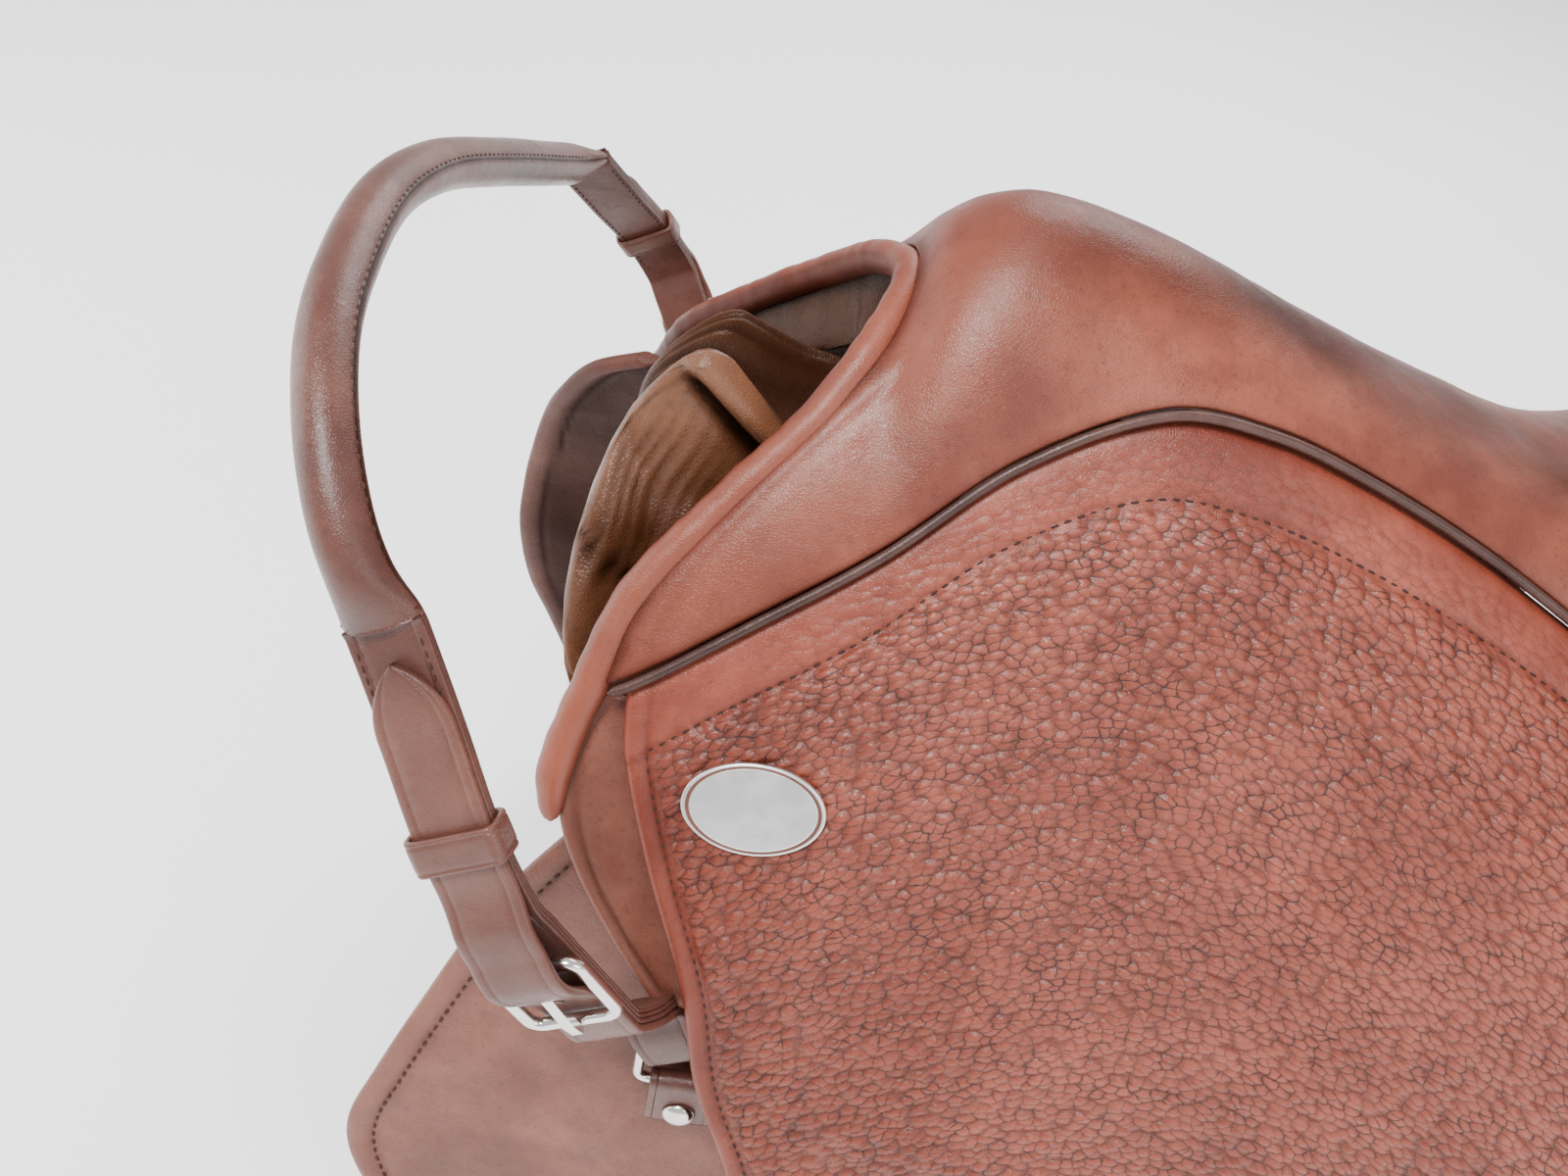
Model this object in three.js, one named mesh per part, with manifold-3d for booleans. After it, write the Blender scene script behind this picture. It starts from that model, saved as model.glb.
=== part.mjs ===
// English riding saddle with a buckled grab handle over the pommel.
// Millimetres. +X runs from the pommel back to the cantle, -Y is the near (left) side, +Z is up.
// The origin is the middle of the saddle, on the level of the panels' bearing surface.
import * as THREE from 'three';
import { mergeVertices } from 'three/addons/utils/BufferGeometryUtils.js';
import Module from 'manifold-3d';

const manifold = await Module();
manifold.setup();

// ---------------------------------------------------------------- driving dimensions
const GAP = 0.35;                    // air left between pieces that touch
const NEAR = -1;                     // side signs along Y
const FAR = 1;

// Side view of the saddle: [X, Z] of the middle of the seat, front to back.
const CROWN_LINE = [
  [-285, 156], [-266, 159], [-234, 171], [-212, 179], [-199, 181], [-184, 199], [-166, 208],
  [-146, 208], [-113, 200.5], [-60, 181], [-15, 165.5], [42, 149.5], [84, 142.5], [115, 143], [150, 153],
  [185, 173], [215, 197], [240, 217], [256, 224],
];
// The welt between the seat and the flaps: [X, half width] and [X, Z].
const WELT_HALF_WIDTH = [
  [-285, 110], [-266, 106], [-234, 95], [-195, 80], [-157, 61], [-114, 48.5], [-78, 47.5],
  [-41, 48], [0, 53], [37, 61], [80, 86], [120, 113], [160, 133], [197, 140], [225, 136], [256, 122],
];
const WELT_HEIGHT = [
  [-285, 65], [-266, 74], [-234, 95], [-195, 121], [-157, 151], [-114, 171], [-78, 170],
  [-41, 159], [0, 144], [37, 128], [80, 113], [120, 104], [160, 101], [197, 105], [225, 112], [256, 120],
];
// How square the seat's cross-section is: [X, exponent].
const SEAT_SQUARENESS = [[-285, 2], [0, 2.1], [80, 2.5], [150, 3.6], [256, 4]];
// How far the seat's sides stand above its middle, where the rider sits: [X, mm].
const SEAT_DISH = [[-60, 0], [60, 4], [120, 12], [190, 20], [256, 12]];
// Half width of the saddle's side at each height: [Z, Y] at X = SIDE_X, widening by SIDE_FLARE per mm.
const SIDE_SECTION = [
  [-260, 206], [-209, 204], [-169, 199], [-120, 190], [-72, 177], [-24, 161], [22, 141],
  [66, 118], [108, 92], [149, 63], [169, 48], [203, 15],
];
const SIDE_X = -150;
const SIDE_FLARE = 0.06;
const WELT_BLEND = 40;               // shortest height over which the side closes in to the welt

// Front edge of the pommel: [fraction of the half width, X], then the arms below the welt [Z, X].
const POMMEL_EDGE = [
  [0, -200], [0.25, -203], [0.51, -214], [0.64, -231], [0.75, -252], [0.86, -272], [1, -281],
];
const ARM_BELOW_WELT = [[58, -284], [40, -288], [24, -287]];
const POMMEL_ROLL_R = 6;
const SEAT_REAR_X = 254;             // cantle, in the middle
const SEAT_REAR_SWEEP = 57;          // how far the rear edge comes forward at the welts

// Layers of the seat: depths below its surface, share of its width, setbacks from its front and rear edges.
const SEAT_LEATHER_OUT = 1.5;
const SEAT_LEATHER_IN = 2;
const SEAT_LAYERS = {
  leather: { top: -SEAT_LEATHER_OUT, bottom: SEAT_LEATHER_IN, spread: 1, front: POMMEL_ROLL_R + 6.4, rear: 0 },
  foam: { top: 6, bottom: 13, spread: 0.86, front: 18, rear: 20 },
  tree: { top: 17, bottom: 25, spread: 0.86, front: 20, rear: 26 },
};
const HEAD_PLATE_TOP = 27;
const HEAD_PLATE_BOTTOM = 30;
const LINING_TOP = 33;
const LINING_BOTTOM = 36;
const LINING_SPREAD = 0.5;
const LINING_REAR_X = -118;
const WELT_R = 1.7;

// Flap outline: [Z, X] of its front and rear edges. It hinges along a line at HINGE_Z.
const HINGE_Z = 64;
const FLAP_THICK = 5;
const FLAP_BOTTOM = -238;
const FLAP_FRONT = [
  [-238, -92], [-229, -125], [-205, -160], [-160, -187], [-96, -207], [-60, -224],
  [-22, -235], [17, -253], [50, -266], [64, -268],
];
const FLAP_REAR = [[-238, -22], [-228, 12], [-200, 50], [-150, 78], [-90, 90], [-20, 90], [64, 78]];
const FLAP_TOP_REAR_X = 74;

// Sweat flap, under the girth straps: outline [Z, X] and depth below the side surface [Z, mm].
const SWEAT_BOTTOM = -243;
const SWEAT_THICK = 3.5;
const SWEAT_DEPTH = [[-243, 31], [-150, 36], [-60, 36], [0, 29], [40, 24]];
const NEAR_SWEAT_TOP = 40;
const NEAR_SWEAT_FRONT = [
  [-243, -262], [-232, -306], [-212, -331], [-185, -350], [-155, -358], [-120, -348], [-77, -331],
  [-20, -305], [14, -281], [40, -258],
];
const NEAR_SWEAT_REAR = [[-243, -70], [-225, -5], [-170, 46], [-90, 70], [0, 66], [40, 52]];
// The far one has a tongue that stands up in front of its panel.
const FAR_SWEAT_TOP = 98;
const FAR_SWEAT_FRONT = [
  [-243, -250], [-232, -285], [-206, -309], [-162, -323], [-121, -335], [-88, -344], [-45, -348],
  [-10, -345], [13, -341], [39, -335], [59, -328], [84, -313], [98, -292],
];
const FAR_SWEAT_REAR = [
  [-243, -70], [-225, -5], [-170, 46], [-90, 70], [0, 66], [20, 40], [50, -120], [75, -225], [98, -262],
];

// Panel: front edge, top edge and lower edge.
const NEAR_PANEL_FRONT = [[0, -264], [0.25, -286], [0.5, -295], [0.75, -294], [1, -285]];
const FAR_PANEL_FRONT = [[0, -264], [0.25, -282], [0.5, -288], [0.75, -286], [1, -278]];
const PANEL_REAR_X = 238;
const PANEL_REAR_LEAN = 30;          // how far the rear end comes forward at the foot
const PANEL_TOP_TILT = 6;            // how far the inner top edge lies below the outer one
const NEAR_PANEL_TOP = [
  [-297, 158], [-278, 168], [-262, 168], [-244, 150], [-222, 128], [-190, 120], [-150, 118], [-60, 110],
  [40, 98], [150, 92], [238, 100],
];
const FAR_PANEL_TOP = [
  [-297, 140], [-262, 138], [-222, 124], [-150, 118], [-60, 110], [40, 98], [150, 92], [238, 100],
];
const PANEL_FOOT = [[-297, 20], [-200, 12], [-100, 6], [0, 4], [100, 14], [180, 34], [238, 62]];
const NEAR_PANEL_DEPTH = [
  [-320, 20], [-297, 18], [-288, 26], [-280, 36], [-268, 46], [20, 48], [120, 48], [238, 66],
];
const FAR_PANEL_DEPTH = [[-290, 44], [-268, 46], [20, 48], [120, 48], [238, 66]];
const GULLET_HALF = 30;              // half the channel between the panels
const PANEL_THICK_TOP = 9;
const PANEL_THICK_MID = 30;

// Handle: it lies in a plane through Y, leaning forward, and swings about the rings' centres.
const RING_X = -226;
const RING_Z = -74;
const RING_Y = 150.5;
const HANDLE_LEAN = 61;              // degrees above level
const STRAP_WIDE = 25;
const BASE_THICK = 4.5;
const BILLET_THICK = 3.2;
// Strap routes: [distance from the ring, half width], with a straight stretch at the buckle.
const NEAR_STRAP = [
  [5, 150.5], [22, 150.5], [35, 151.5], [49, 165], [62, 175.5], [68, 177.2], [75, 178], [100, 181],
  [125, 184], [137, 185.4], [165, 178.5], [192, 165.5], [206, 159], [222, 152],
];
const FAR_STRAP = [
  [5, 150.5], [22, 150.5], [35, 152], [49, 172], [62, 191], [68, 197.5], [75, 200], [100, 207],
  [125, 214], [137, 217], [165, 206], [192, 186], [206, 176], [220, 166],
];
// Rolled grip: [distance from the rings, Y].
const GRIP_ROUTE = [
  [223, -149], [238, -146], [252, -139], [270, -121], [285, -94], [292, -60], [293, -22],
  [284, 20], [262, 73], [241, 118], [221, 161],
];
const GRIP_R = 9;
const BUCKLE_AT = 99.5;              // middle of the buckle along the strap
const BUCKLE_LONG = 37.4;
const BUCKLE_HALF_WIDE = 17.4;
const BUCKLE_BAR = 4.4;
const BUCKLE_THICK = 4;
const HEEL_AT = BUCKLE_AT + BUCKLE_LONG / 2 - BUCKLE_BAR / 2;
const BUCKLE_LIFT = 5.9;             // middle of the frame above the base strap's face
const HEEL_LIFT = 11;                // how high the billet rises over the heel bar
const HUB_R = 4.6;
const HUB_BORE_R = 3;
const KEEPER_AT = 163;
const KEEPER_LONG = 12;
const KEEPER_THICK = 1.8;
const KEEPER_EASE = 0.5;             // play beside the strap
// Where the strap wraps the ring, and the corners of its two layers along their length.
const STRAP_RING_END = 9;
const STRAP_WRAP = [[-1.5, 3], [-3.2, 1.5]];
const BASE_STOPS = [21, 34, 42, 49, 56, 64, 75, 100, 125, 137, 151, 165, 178, 192, 206];
const BILLET_STOPS = [
  21, 34, 42, 49, 56, 64, 75, 86, 91, 96, 101, 107, HEEL_AT, 120, 125, 131, 138, 145, 152, 160, 170, 181,
  192, 203,
];
const BILLET_SHORT = 8;              // the billet's tip stops this far before the base strap's end
const SLOT = { at: 98, lift: 9, long: 24, deep: 12, wide: 5.4 };
const PRONG_WIDE = 3.8;
const PRONG_TIP = 6;                 // length of the prong's flat end
const PRONG_NECK = 1.6;
const WIRE_R = 2;
const RING_BOW_R = 18;               // to the middle of the wire
const RING_LEG = 14;                 // from the bow's centre down to the bar
const TAB_LONG = 22;                 // the tab folds round the bar: length, width, thickness, gap in the fold
const TAB_WIDE = 26;
const TAB_THICK = 2;
const TAB_CLOSE = 1.8;
const STUD_BELOW_BAR = 15;
const STUD_SECTION = [[0, 0], [6.5, 0], [6, 1.4], [4, 2.6], [0, 3.2]];

// Pieces behind the flap: pocket for the tree's point, knee block and thigh block.
const POCKET = {
  top: 66, bottom: -10, front: [[-10, -262], [24, -277], [44, -279], [66, -272]], rear: [[-10, -214]],
  under: FLAP_THICK + 1.5, thick: 3,
};
const KNEE_BLOCK = {
  top: 0, bottom: -150,
  front: [[-150, -158], [-90, -180], [0, -200]], rear: [[-150, -130], [-90, -150], [0, -172]],
  under: FLAP_THICK + 1, thick: 16,
};
const THIGH_BLOCK = {
  top: -20, bottom: -140, front: [[-140, 49]], rear: [[-140, 68]], under: FLAP_THICK + 1, thick: 16,
};

const BADGE_AT = [-221, 43];         // X, Z of the badge's middle
const BADGE_HALF_LONG = 24;
const BADGE_HALF_HIGH = 16;
const BADGE_THICK = 1.5;
const BADGE_OUT = 1.9;               // its middle plane, outside the flap's face
const BADGE_SLOPE = 0.05;

const HEAD_PLATE_X = [-186, -168];
const HEAD_PLATE_SPREAD = 0.97;
const CANTLE_SPREAD = 0.86;
const CANTLE_THICK = 3.5;
const CANTLE_LEAN = 8;               // how far the facing's foot stands forward of its top
const CANTLE_FOOT_Z = 104;

const STIRRUP_BAR_X = -136;
const STIRRUP_BAR_Y = 48;
const STIRRUP_BAR_Z = 117;
const STIRRUP_BAR_HIGH = 12;
const STIRRUP_BAR_CORNERS = [[-32, 0], [30, 0], [30, 3], [-27, 3], [-27, 14], [22, 14], [22, 19], [-32, 19]];
const CATCH_AT = 22 + GAP;           // the catch's rounded end, behind the open arm of the bar
const CATCH_Y = 16.5;
const CATCH_R = 5;
const CATCH_LONG = 10;
const CATCH_HIGH = 5;

const GIRTH_STRAPS = { front: -74, middle: -30, rear: 14 };
const GIRTH_LEVELS = [96, 70, 40, 0, -45, -90, -140, -214];
const GIRTH_DEPTH = [16, 13];        // below the side surface, above and below GIRTH_STEP_Z
const GIRTH_STEP_Z = 30;
const GIRTH_THICK = 3.6;
const WEB_LEVELS = [98, 110, 122, 134];
const WEB_X = -30;
const WEB_LONG = 104;
const WEB_THICK = 1.6;
const WEB_DEPTH = 12;

// ---------------------------------------------------------------- materials
function leather(color, roughness) {
  return new THREE.MeshStandardMaterial({ color, roughness, metalness: 0 });
}

const SEAT_LEATHER = leather(0x8a4f3a, 0.38);
const FLAP_LEATHER = leather(0x9c6650, 0.5);
const SWEAT_LEATHER = leather(0x74483a, 0.5);
const PANEL_LEATHER = leather(0x6e4a2c, 0.55);
const STRAP_LEATHER = leather(0x5e4038, 0.42);
const WEBBING = leather(0x4a3024, 0.8);
const FOAM = leather(0xd8cfb4, 0.95);
const BEECH = leather(0xb08a5a, 0.7);
const STEEL = new THREE.MeshStandardMaterial({ color: 0xc9c6c2, roughness: 0.2, metalness: 1 });
const FORGED_STEEL = new THREE.MeshStandardMaterial({ color: 0x77787a, roughness: 0.45, metalness: 1 });
const BADGE_METAL = new THREE.MeshStandardMaterial({ color: 0xdedcdc, roughness: 0.3, metalness: 0.8 });

// ---------------------------------------------------------------- helpers
// A smooth function through [x, y] points; it stays level beyond both ends.
function profile(points) {
  const slope = (i) => {
    const a = points[Math.max(i - 1, 0)];
    const b = points[Math.min(i + 1, points.length - 1)];
    return (b[1] - a[1]) / (b[0] - a[0]);
  };
  return (x) => {
    if (x <= points[0][0]) return points[0][1];
    const i = points.findIndex((p, k) => k > 0 && x <= p[0]);
    if (i < 0) return points[points.length - 1][1];
    const [x0, y0] = points[i - 1];
    const [x1, y1] = points[i];
    const h = x1 - x0;
    const t = (x - x0) / h;
    const curve = (3 * t * t - 2 * t * t * t) * (y1 - y0) + y0;
    return curve + h * t * (1 - t) * ((1 - t) * slope(i - 1) - t * slope(i));
  };
}

function lerp(a, b, t) {
  return a + (b - a) * t;
}

// Shared vertices, faces pointing out.
function solid(geometry) {
  let g = geometry.clone();
  g.deleteAttribute('normal');
  g.deleteAttribute('uv');
  g = mergeVertices(g, 1e-3);
  const p = g.attributes.position;
  const a = new THREE.Vector3();
  const b = new THREE.Vector3();
  const c = new THREE.Vector3();
  const index = g.index.array;
  let volume = 0;
  for (let i = 0; i < index.length; i += 3) {
    a.fromBufferAttribute(p, index[i]);
    b.fromBufferAttribute(p, index[i + 1]);
    c.fromBufferAttribute(p, index[i + 2]);
    volume += a.dot(b.cross(c));
  }
  if (volume < 0) {
    for (let i = 0; i < index.length; i += 3) {
      [index[i + 1], index[i + 2]] = [index[i + 2], index[i + 1]];
    }
  }
  return g;
}

// A box bent into shape: place(u, v, w) gives the point for each corner of its grid, all from 0 to 1.
function bentBox(nu, nv, place) {
  const box = new THREE.BoxGeometry(1, 1, 1, nu, nv, 1);
  const p = box.attributes.position;
  for (let i = 0; i < p.count; i += 1) {
    const at = place(p.getX(i) + 0.5, p.getY(i) + 0.5, p.getZ(i) + 0.5);
    p.setXYZ(i, at.x, at.y, at.z);
  }
  return solid(box);
}

function toManifold(geometry) {
  const g = solid(geometry);
  return new manifold.Manifold(new manifold.Mesh({
    numProp: 3,
    vertProperties: new Float32Array(g.attributes.position.array),
    triVerts: new Uint32Array(g.index.array),
  }));
}

function cut(geometry, ...tools) {
  let body = toManifold(geometry);
  for (const tool of tools) body = body.subtract(toManifold(tool));
  const mesh = body.getMesh();
  const g = new THREE.BufferGeometry();
  g.setAttribute('position', new THREE.BufferAttribute(new Float32Array(mesh.vertProperties), 3));
  g.setIndex(new THREE.BufferAttribute(new Uint32Array(mesh.triVerts), 1));
  return g;
}

function extrude(shape, depth, curveSegments = 6) {
  const g = new THREE.ExtrudeGeometry(shape, { depth, bevelEnabled: false, curveSegments });
  return g.translate(0, 0, -depth / 2);
}

// A round tube along a smooth curve through the points.
function tube(points, radius, sides, steps) {
  const section = new THREE.Shape();
  for (let i = 0; i < sides; i += 1) {
    const angle = (2 * Math.PI * i) / sides;
    const at = [radius * Math.cos(angle), radius * Math.sin(angle)];
    if (i === 0) section.moveTo(...at);
    else section.lineTo(...at);
  }
  section.closePath();
  const extrudePath = new THREE.CatmullRomCurve3(points, false, 'centripetal');
  return solid(new THREE.ExtrudeGeometry(section, { steps, extrudePath, bevelEnabled: false }));
}

function roundedRect(x0, y0, x1, y1, r) {
  const s = new THREE.Shape();
  s.moveTo(x0 + r, y0);
  s.lineTo(x1 - r, y0);
  s.absarc(x1 - r, y0 + r, r, -Math.PI / 2, 0);
  s.lineTo(x1, y1 - r);
  s.absarc(x1 - r, y1 - r, r, 0, Math.PI / 2);
  s.lineTo(x0 + r, y1);
  s.absarc(x0 + r, y1 - r, r, Math.PI / 2, Math.PI);
  s.lineTo(x0, y0 + r);
  s.absarc(x0 + r, y0 + r, r, Math.PI, 1.5 * Math.PI);
  return s;
}

// ---------------------------------------------------------------- the saddle's surface
const crownZ = profile(CROWN_LINE);
const weltY = profile(WELT_HALF_WIDTH);
const weltZ = profile(WELT_HEIGHT);
const squareness = profile(SEAT_SQUARENESS);
const dish = profile(SEAT_DISH);
const sideSection = profile(SIDE_SECTION);
const pommelEdgeX = profile(POMMEL_EDGE);

// Seat surface: s runs from -1 at the near welt to 1 at the far welt.
function seatPoint(x, s) {
  const top = crownZ(x);
  const fall = (top - weltZ(x)) * Math.abs(s) ** squareness(x);
  const z = top - fall + 4 * dish(x) * s * s * (1 - s * s);
  return new THREE.Vector3(x, weltY(x) * s, z);
}

// Half width of the side surface; above the hinge line it closes in to meet the welt.
function sideHalfWidth(x, z) {
  const plain = sideSection(z) + SIDE_FLARE * (x - SIDE_X);
  if (z <= HINGE_Z) return plain;
  const atWelt = sideSection(weltZ(x)) + SIDE_FLARE * (x - SIDE_X) - weltY(x);
  return plain - atWelt * ((z - HINGE_Z) / Math.max(weltZ(x) - HINGE_Z, WELT_BLEND)) ** 2;
}

function sidePoint(side, x, z) {
  return new THREE.Vector3(x, side * sideHalfWidth(x, z), z);
}

// The point moved along the surface's outward normal; a negative distance is inwards.
function offsetFrom(point, along, across, outward, distance) {
  const normal = along.sub(point).cross(across.sub(point)).normalize();
  if (normal.dot(outward) < 0) normal.negate();
  return point.clone().addScaledVector(normal, distance);
}

function seatOffset(x, s, distance) {
  const step = s > 0 ? -0.01 : 0.01;
  const up = new THREE.Vector3(0, Math.sign(s) * 0.5, 1);
  return offsetFrom(seatPoint(x, s), seatPoint(x + 1, s), seatPoint(x, s + step), up, distance);
}

function sideOffset(side, x, z, distance) {
  const out = new THREE.Vector3(0, side, 0.2);
  return offsetFrom(sidePoint(side, x, z), sidePoint(side, x + 1, z), sidePoint(side, x, z - 1), out, distance);
}

// ---------------------------------------------------------------- scene graph
const saddle = new THREE.Group();

function piece(name, geometry, material, parent = saddle) {
  const mesh = new THREE.Mesh(geometry, material.clone());
  mesh.name = name;
  parent.add(mesh);
  return mesh;
}

function sideName(side) {
  return side === NEAR ? 'near' : 'far';
}

// A layer of the seat between two depths, narrowed to part of the width and length.
function seatLayer(nu, nv, { top, bottom, spread, front, rear }) {
  return bentBox(nu, nv, (u, v, w) => {
    const s = lerp(-spread, spread, v);
    const a = Math.abs(s) / spread;
    const x = lerp(pommelEdgeX(a * spread) + front, SEAT_REAR_X - SEAT_REAR_SWEEP * a * a - rear, u);
    return seatOffset(x, s, -lerp(bottom, top, w));
  });
}

// A layer beside the saddle: outline front(z) to rear(z), depths below the side surface.
function sideLayer(side, nu, nv, { top, bottom, front, rear, depth, thick }) {
  return bentBox(nu, nv, (u, v, w) => {
    const z = lerp(bottom, top, v);
    const x = lerp(front(z), rear(z), u);
    return sideOffset(side, x, z, -(depth(z) + lerp(thick, 0, w)));
  });
}

function behindFlap(side, nu, nv, { top, bottom, front, rear, under, thick }) {
  const outline = { top, bottom, front: profile(front), rear: profile(rear) };
  return sideLayer(side, nu, nv, { ...outline, depth: () => under, thick });
}

function addSeat() {
  piece('seat_leather', seatLayer(22, 16, SEAT_LAYERS.leather), SEAT_LEATHER);
  piece('seat_foam', seatLayer(14, 8, SEAT_LAYERS.foam), FOAM);
  piece('tree', seatLayer(14, 8, SEAT_LAYERS.tree), BEECH);
}

function addPommel() {
  const edge = [];
  const stations = [1, 0.86, 0.72, 0.58, 0.4, 0.2];
  for (const side of [NEAR, FAR]) {
    const arm = ARM_BELOW_WELT.map(([z, x]) => sideOffset(side, x, z, -POMMEL_ROLL_R + SEAT_LEATHER_OUT));
    const bow = stations.map((s) => seatOffset(pommelEdgeX(s), side * s, -POMMEL_ROLL_R + SEAT_LEATHER_OUT));
    const half = [...arm.reverse(), ...bow];
    if (side === NEAR) edge.push(...half, seatOffset(pommelEdgeX(0), 0, -POMMEL_ROLL_R + SEAT_LEATHER_OUT));
    else edge.push(...half.reverse());
  }
  piece('pommel_roll', tube(edge, POMMEL_ROLL_R, 8, 34), SEAT_LEATHER);

  piece('head_plate', bentBox(1, 14, (u, v, w) => {
    const s = lerp(-HEAD_PLATE_SPREAD, HEAD_PLATE_SPREAD, v);
    return seatOffset(lerp(...HEAD_PLATE_X, u), s, -lerp(HEAD_PLATE_BOTTOM, HEAD_PLATE_TOP, w));
  }), FORGED_STEEL);

  piece('pommel_lining', bentBox(5, 14, (u, v, w) => {
    const s = lerp(-LINING_SPREAD, LINING_SPREAD, v);
    const x = lerp(pommelEdgeX(Math.abs(s)) + 4, LINING_REAR_X, u);
    return seatOffset(x, s, -lerp(LINING_BOTTOM, LINING_TOP, w));
  }), PANEL_LEATHER);

  piece('cantle_facing', bentBox(2, 14, (u, v, w) => {
    const s = lerp(-CANTLE_SPREAD, CANTLE_SPREAD, v);
    const rim = SEAT_REAR_X - SEAT_REAR_SWEEP * s * s - 4;
    const upper = seatOffset(rim, s, -SEAT_LEATHER_IN - 3);
    const lower = new THREE.Vector3(rim - CANTLE_LEAN, upper.y, Math.min(CANTLE_FOOT_Z, upper.z - 14));
    const at = upper.lerp(lower, u);
    return new THREE.Vector3(at.x - lerp(CANTLE_THICK, 0, w), at.y, at.z);
  }), SEAT_LEATHER);
}

function addWelt(side) {
  const points = [];
  for (let x = -272; x < 196; x += 18) {
    const z = weltZ(x) - WELT_R - 0.6;
    points.push(sideOffset(side, x, Math.max(z, HINGE_Z + 2), WELT_R + GAP + 0.25));
  }
  piece(`seat_welt_${sideName(side)}`, tube(points, WELT_R, 6, points.length + 2), SEAT_LEATHER);
}

function addFlap(side) {
  const name = sideName(side);
  piece(`flap_top_${name}`, bentBox(16, 3, (u, v, w) => {
    const x = lerp(-267, FLAP_TOP_REAR_X, u);
    const z = lerp(HINGE_Z + GAP, weltZ(x) - 1.6, v);
    return sideOffset(side, x, z, -lerp(FLAP_THICK, 0, w));
  }), FLAP_LEATHER);
  piece(`flap_${name}`, sideLayer(side, 12, 12, {
    top: HINGE_Z - GAP, bottom: FLAP_BOTTOM, front: profile(FLAP_FRONT), rear: profile(FLAP_REAR),
    depth: () => 0, thick: FLAP_THICK,
  }), FLAP_LEATHER);

  const badge = new THREE.CylinderGeometry(BADGE_HALF_LONG, BADGE_HALF_LONG, BADGE_THICK, 28);
  badge.rotateX(Math.PI / 2).scale(1, BADGE_HALF_HIGH / BADGE_HALF_LONG, 1);
  const mesh = piece(`badge_${name}`, solid(badge), BADGE_METAL);
  const seat = sideOffset(side, ...BADGE_AT, BADGE_OUT);
  const normal = sideOffset(side, ...BADGE_AT, BADGE_OUT + 1).sub(seat);
  const level = new THREE.Vector3(1, 0, BADGE_SLOPE).projectOnPlane(normal).normalize();
  mesh.position.copy(seat);
  const up = new THREE.Vector3().crossVectors(normal, level);
  mesh.quaternion.setFromRotationMatrix(new THREE.Matrix4().makeBasis(level, up, normal));
}

function addSweatFlap(side) {
  const name = sideName(side);
  const depth = profile(SWEAT_DEPTH);
  const [top, front, rear, rows] = side === NEAR
    ? [NEAR_SWEAT_TOP, NEAR_SWEAT_FRONT, NEAR_SWEAT_REAR, 11]
    : [FAR_SWEAT_TOP, FAR_SWEAT_FRONT, FAR_SWEAT_REAR, 14];
  piece(`sweat_flap_${name}`, sideLayer(side, 11, rows, {
    top, bottom: SWEAT_BOTTOM, front: profile(front), rear: profile(rear), depth, thick: SWEAT_THICK,
  }), SWEAT_LEATHER);
  piece(`point_pocket_${name}`, behindFlap(side, 4, 4, POCKET), SEAT_LEATHER);
  piece(`knee_block_${name}`, behindFlap(side, 2, 5, KNEE_BLOCK), FLAP_LEATHER);
  piece(`thigh_block_${name}`, behindFlap(side, 2, 4, THIGH_BLOCK), FLAP_LEATHER);
}

function addPanel(side) {
  const top = profile(side === NEAR ? NEAR_PANEL_TOP : FAR_PANEL_TOP);
  const foot = profile(PANEL_FOOT);
  const depth = profile(side === NEAR ? NEAR_PANEL_DEPTH : FAR_PANEL_DEPTH);
  const front = profile(side === NEAR ? NEAR_PANEL_FRONT : FAR_PANEL_FRONT);
  piece(`panel_${sideName(side)}`, bentBox(14, 6, (u, v, w) => {
    const x = lerp(front(v), PANEL_REAR_X - PANEL_REAR_LEAN * v, u);
    const z = lerp(top(x), foot(x), v);
    const outer = Math.max(sideHalfWidth(x, z) - depth(x), GULLET_HALF + PANEL_THICK_TOP);
    const thick = lerp(PANEL_THICK_TOP, PANEL_THICK_MID, Math.sin(Math.PI * Math.min(v * 1.1, 0.9)));
    const inner = Math.max(outer - thick, GULLET_HALF);
    return new THREE.Vector3(x, side * lerp(inner, outer, w), z - (1 - w) * PANEL_TOP_TILT * (1 - v));
  }), PANEL_LEATHER);
}

function addStrapWeb(side) {
  const rear = WEB_X + WEB_LONG / 2;
  const line = WEB_LEVELS.map((z) => new THREE.Vector2(z, sideHalfWidth(rear, z) - WEB_DEPTH));
  const web = solid(extrude(bandOutline(line, 0, WEB_THICK), WEB_LONG));
  const mesh = piece(`strap_web_${sideName(side)}`, web, WEBBING);
  mesh.position.set(WEB_X, 0, 0);
  standUp(mesh, side);
}

function addStirrupBar(side) {
  const name = sideName(side);
  const bar = new THREE.Group();
  bar.position.set(STIRRUP_BAR_X, side * STIRRUP_BAR_Y, STIRRUP_BAR_Z);
  saddle.add(bar);
  const outline = new THREE.Shape();
  outline.setFromPoints(STIRRUP_BAR_CORNERS.map(([x, y]) => new THREE.Vector2(x, side * y)));
  piece(`stirrup_bar_${name}`, solid(extrude(outline, STIRRUP_BAR_HIGH)), FORGED_STEEL, bar);
  const lug = new THREE.Shape();
  lug.absarc(0, 0, CATCH_R, Math.PI / 2, 1.5 * Math.PI);
  lug.lineTo(CATCH_LONG, -CATCH_R);
  lug.lineTo(CATCH_LONG, CATCH_R);
  const pivot = new THREE.Group();
  pivot.position.set(CATCH_AT + CATCH_R, side * CATCH_Y, 0);
  bar.add(pivot);
  piece(`stirrup_catch_${name}`, solid(extrude(lug, CATCH_HIGH).rotateX(Math.PI / 2)), FORGED_STEEL, pivot);
}

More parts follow.
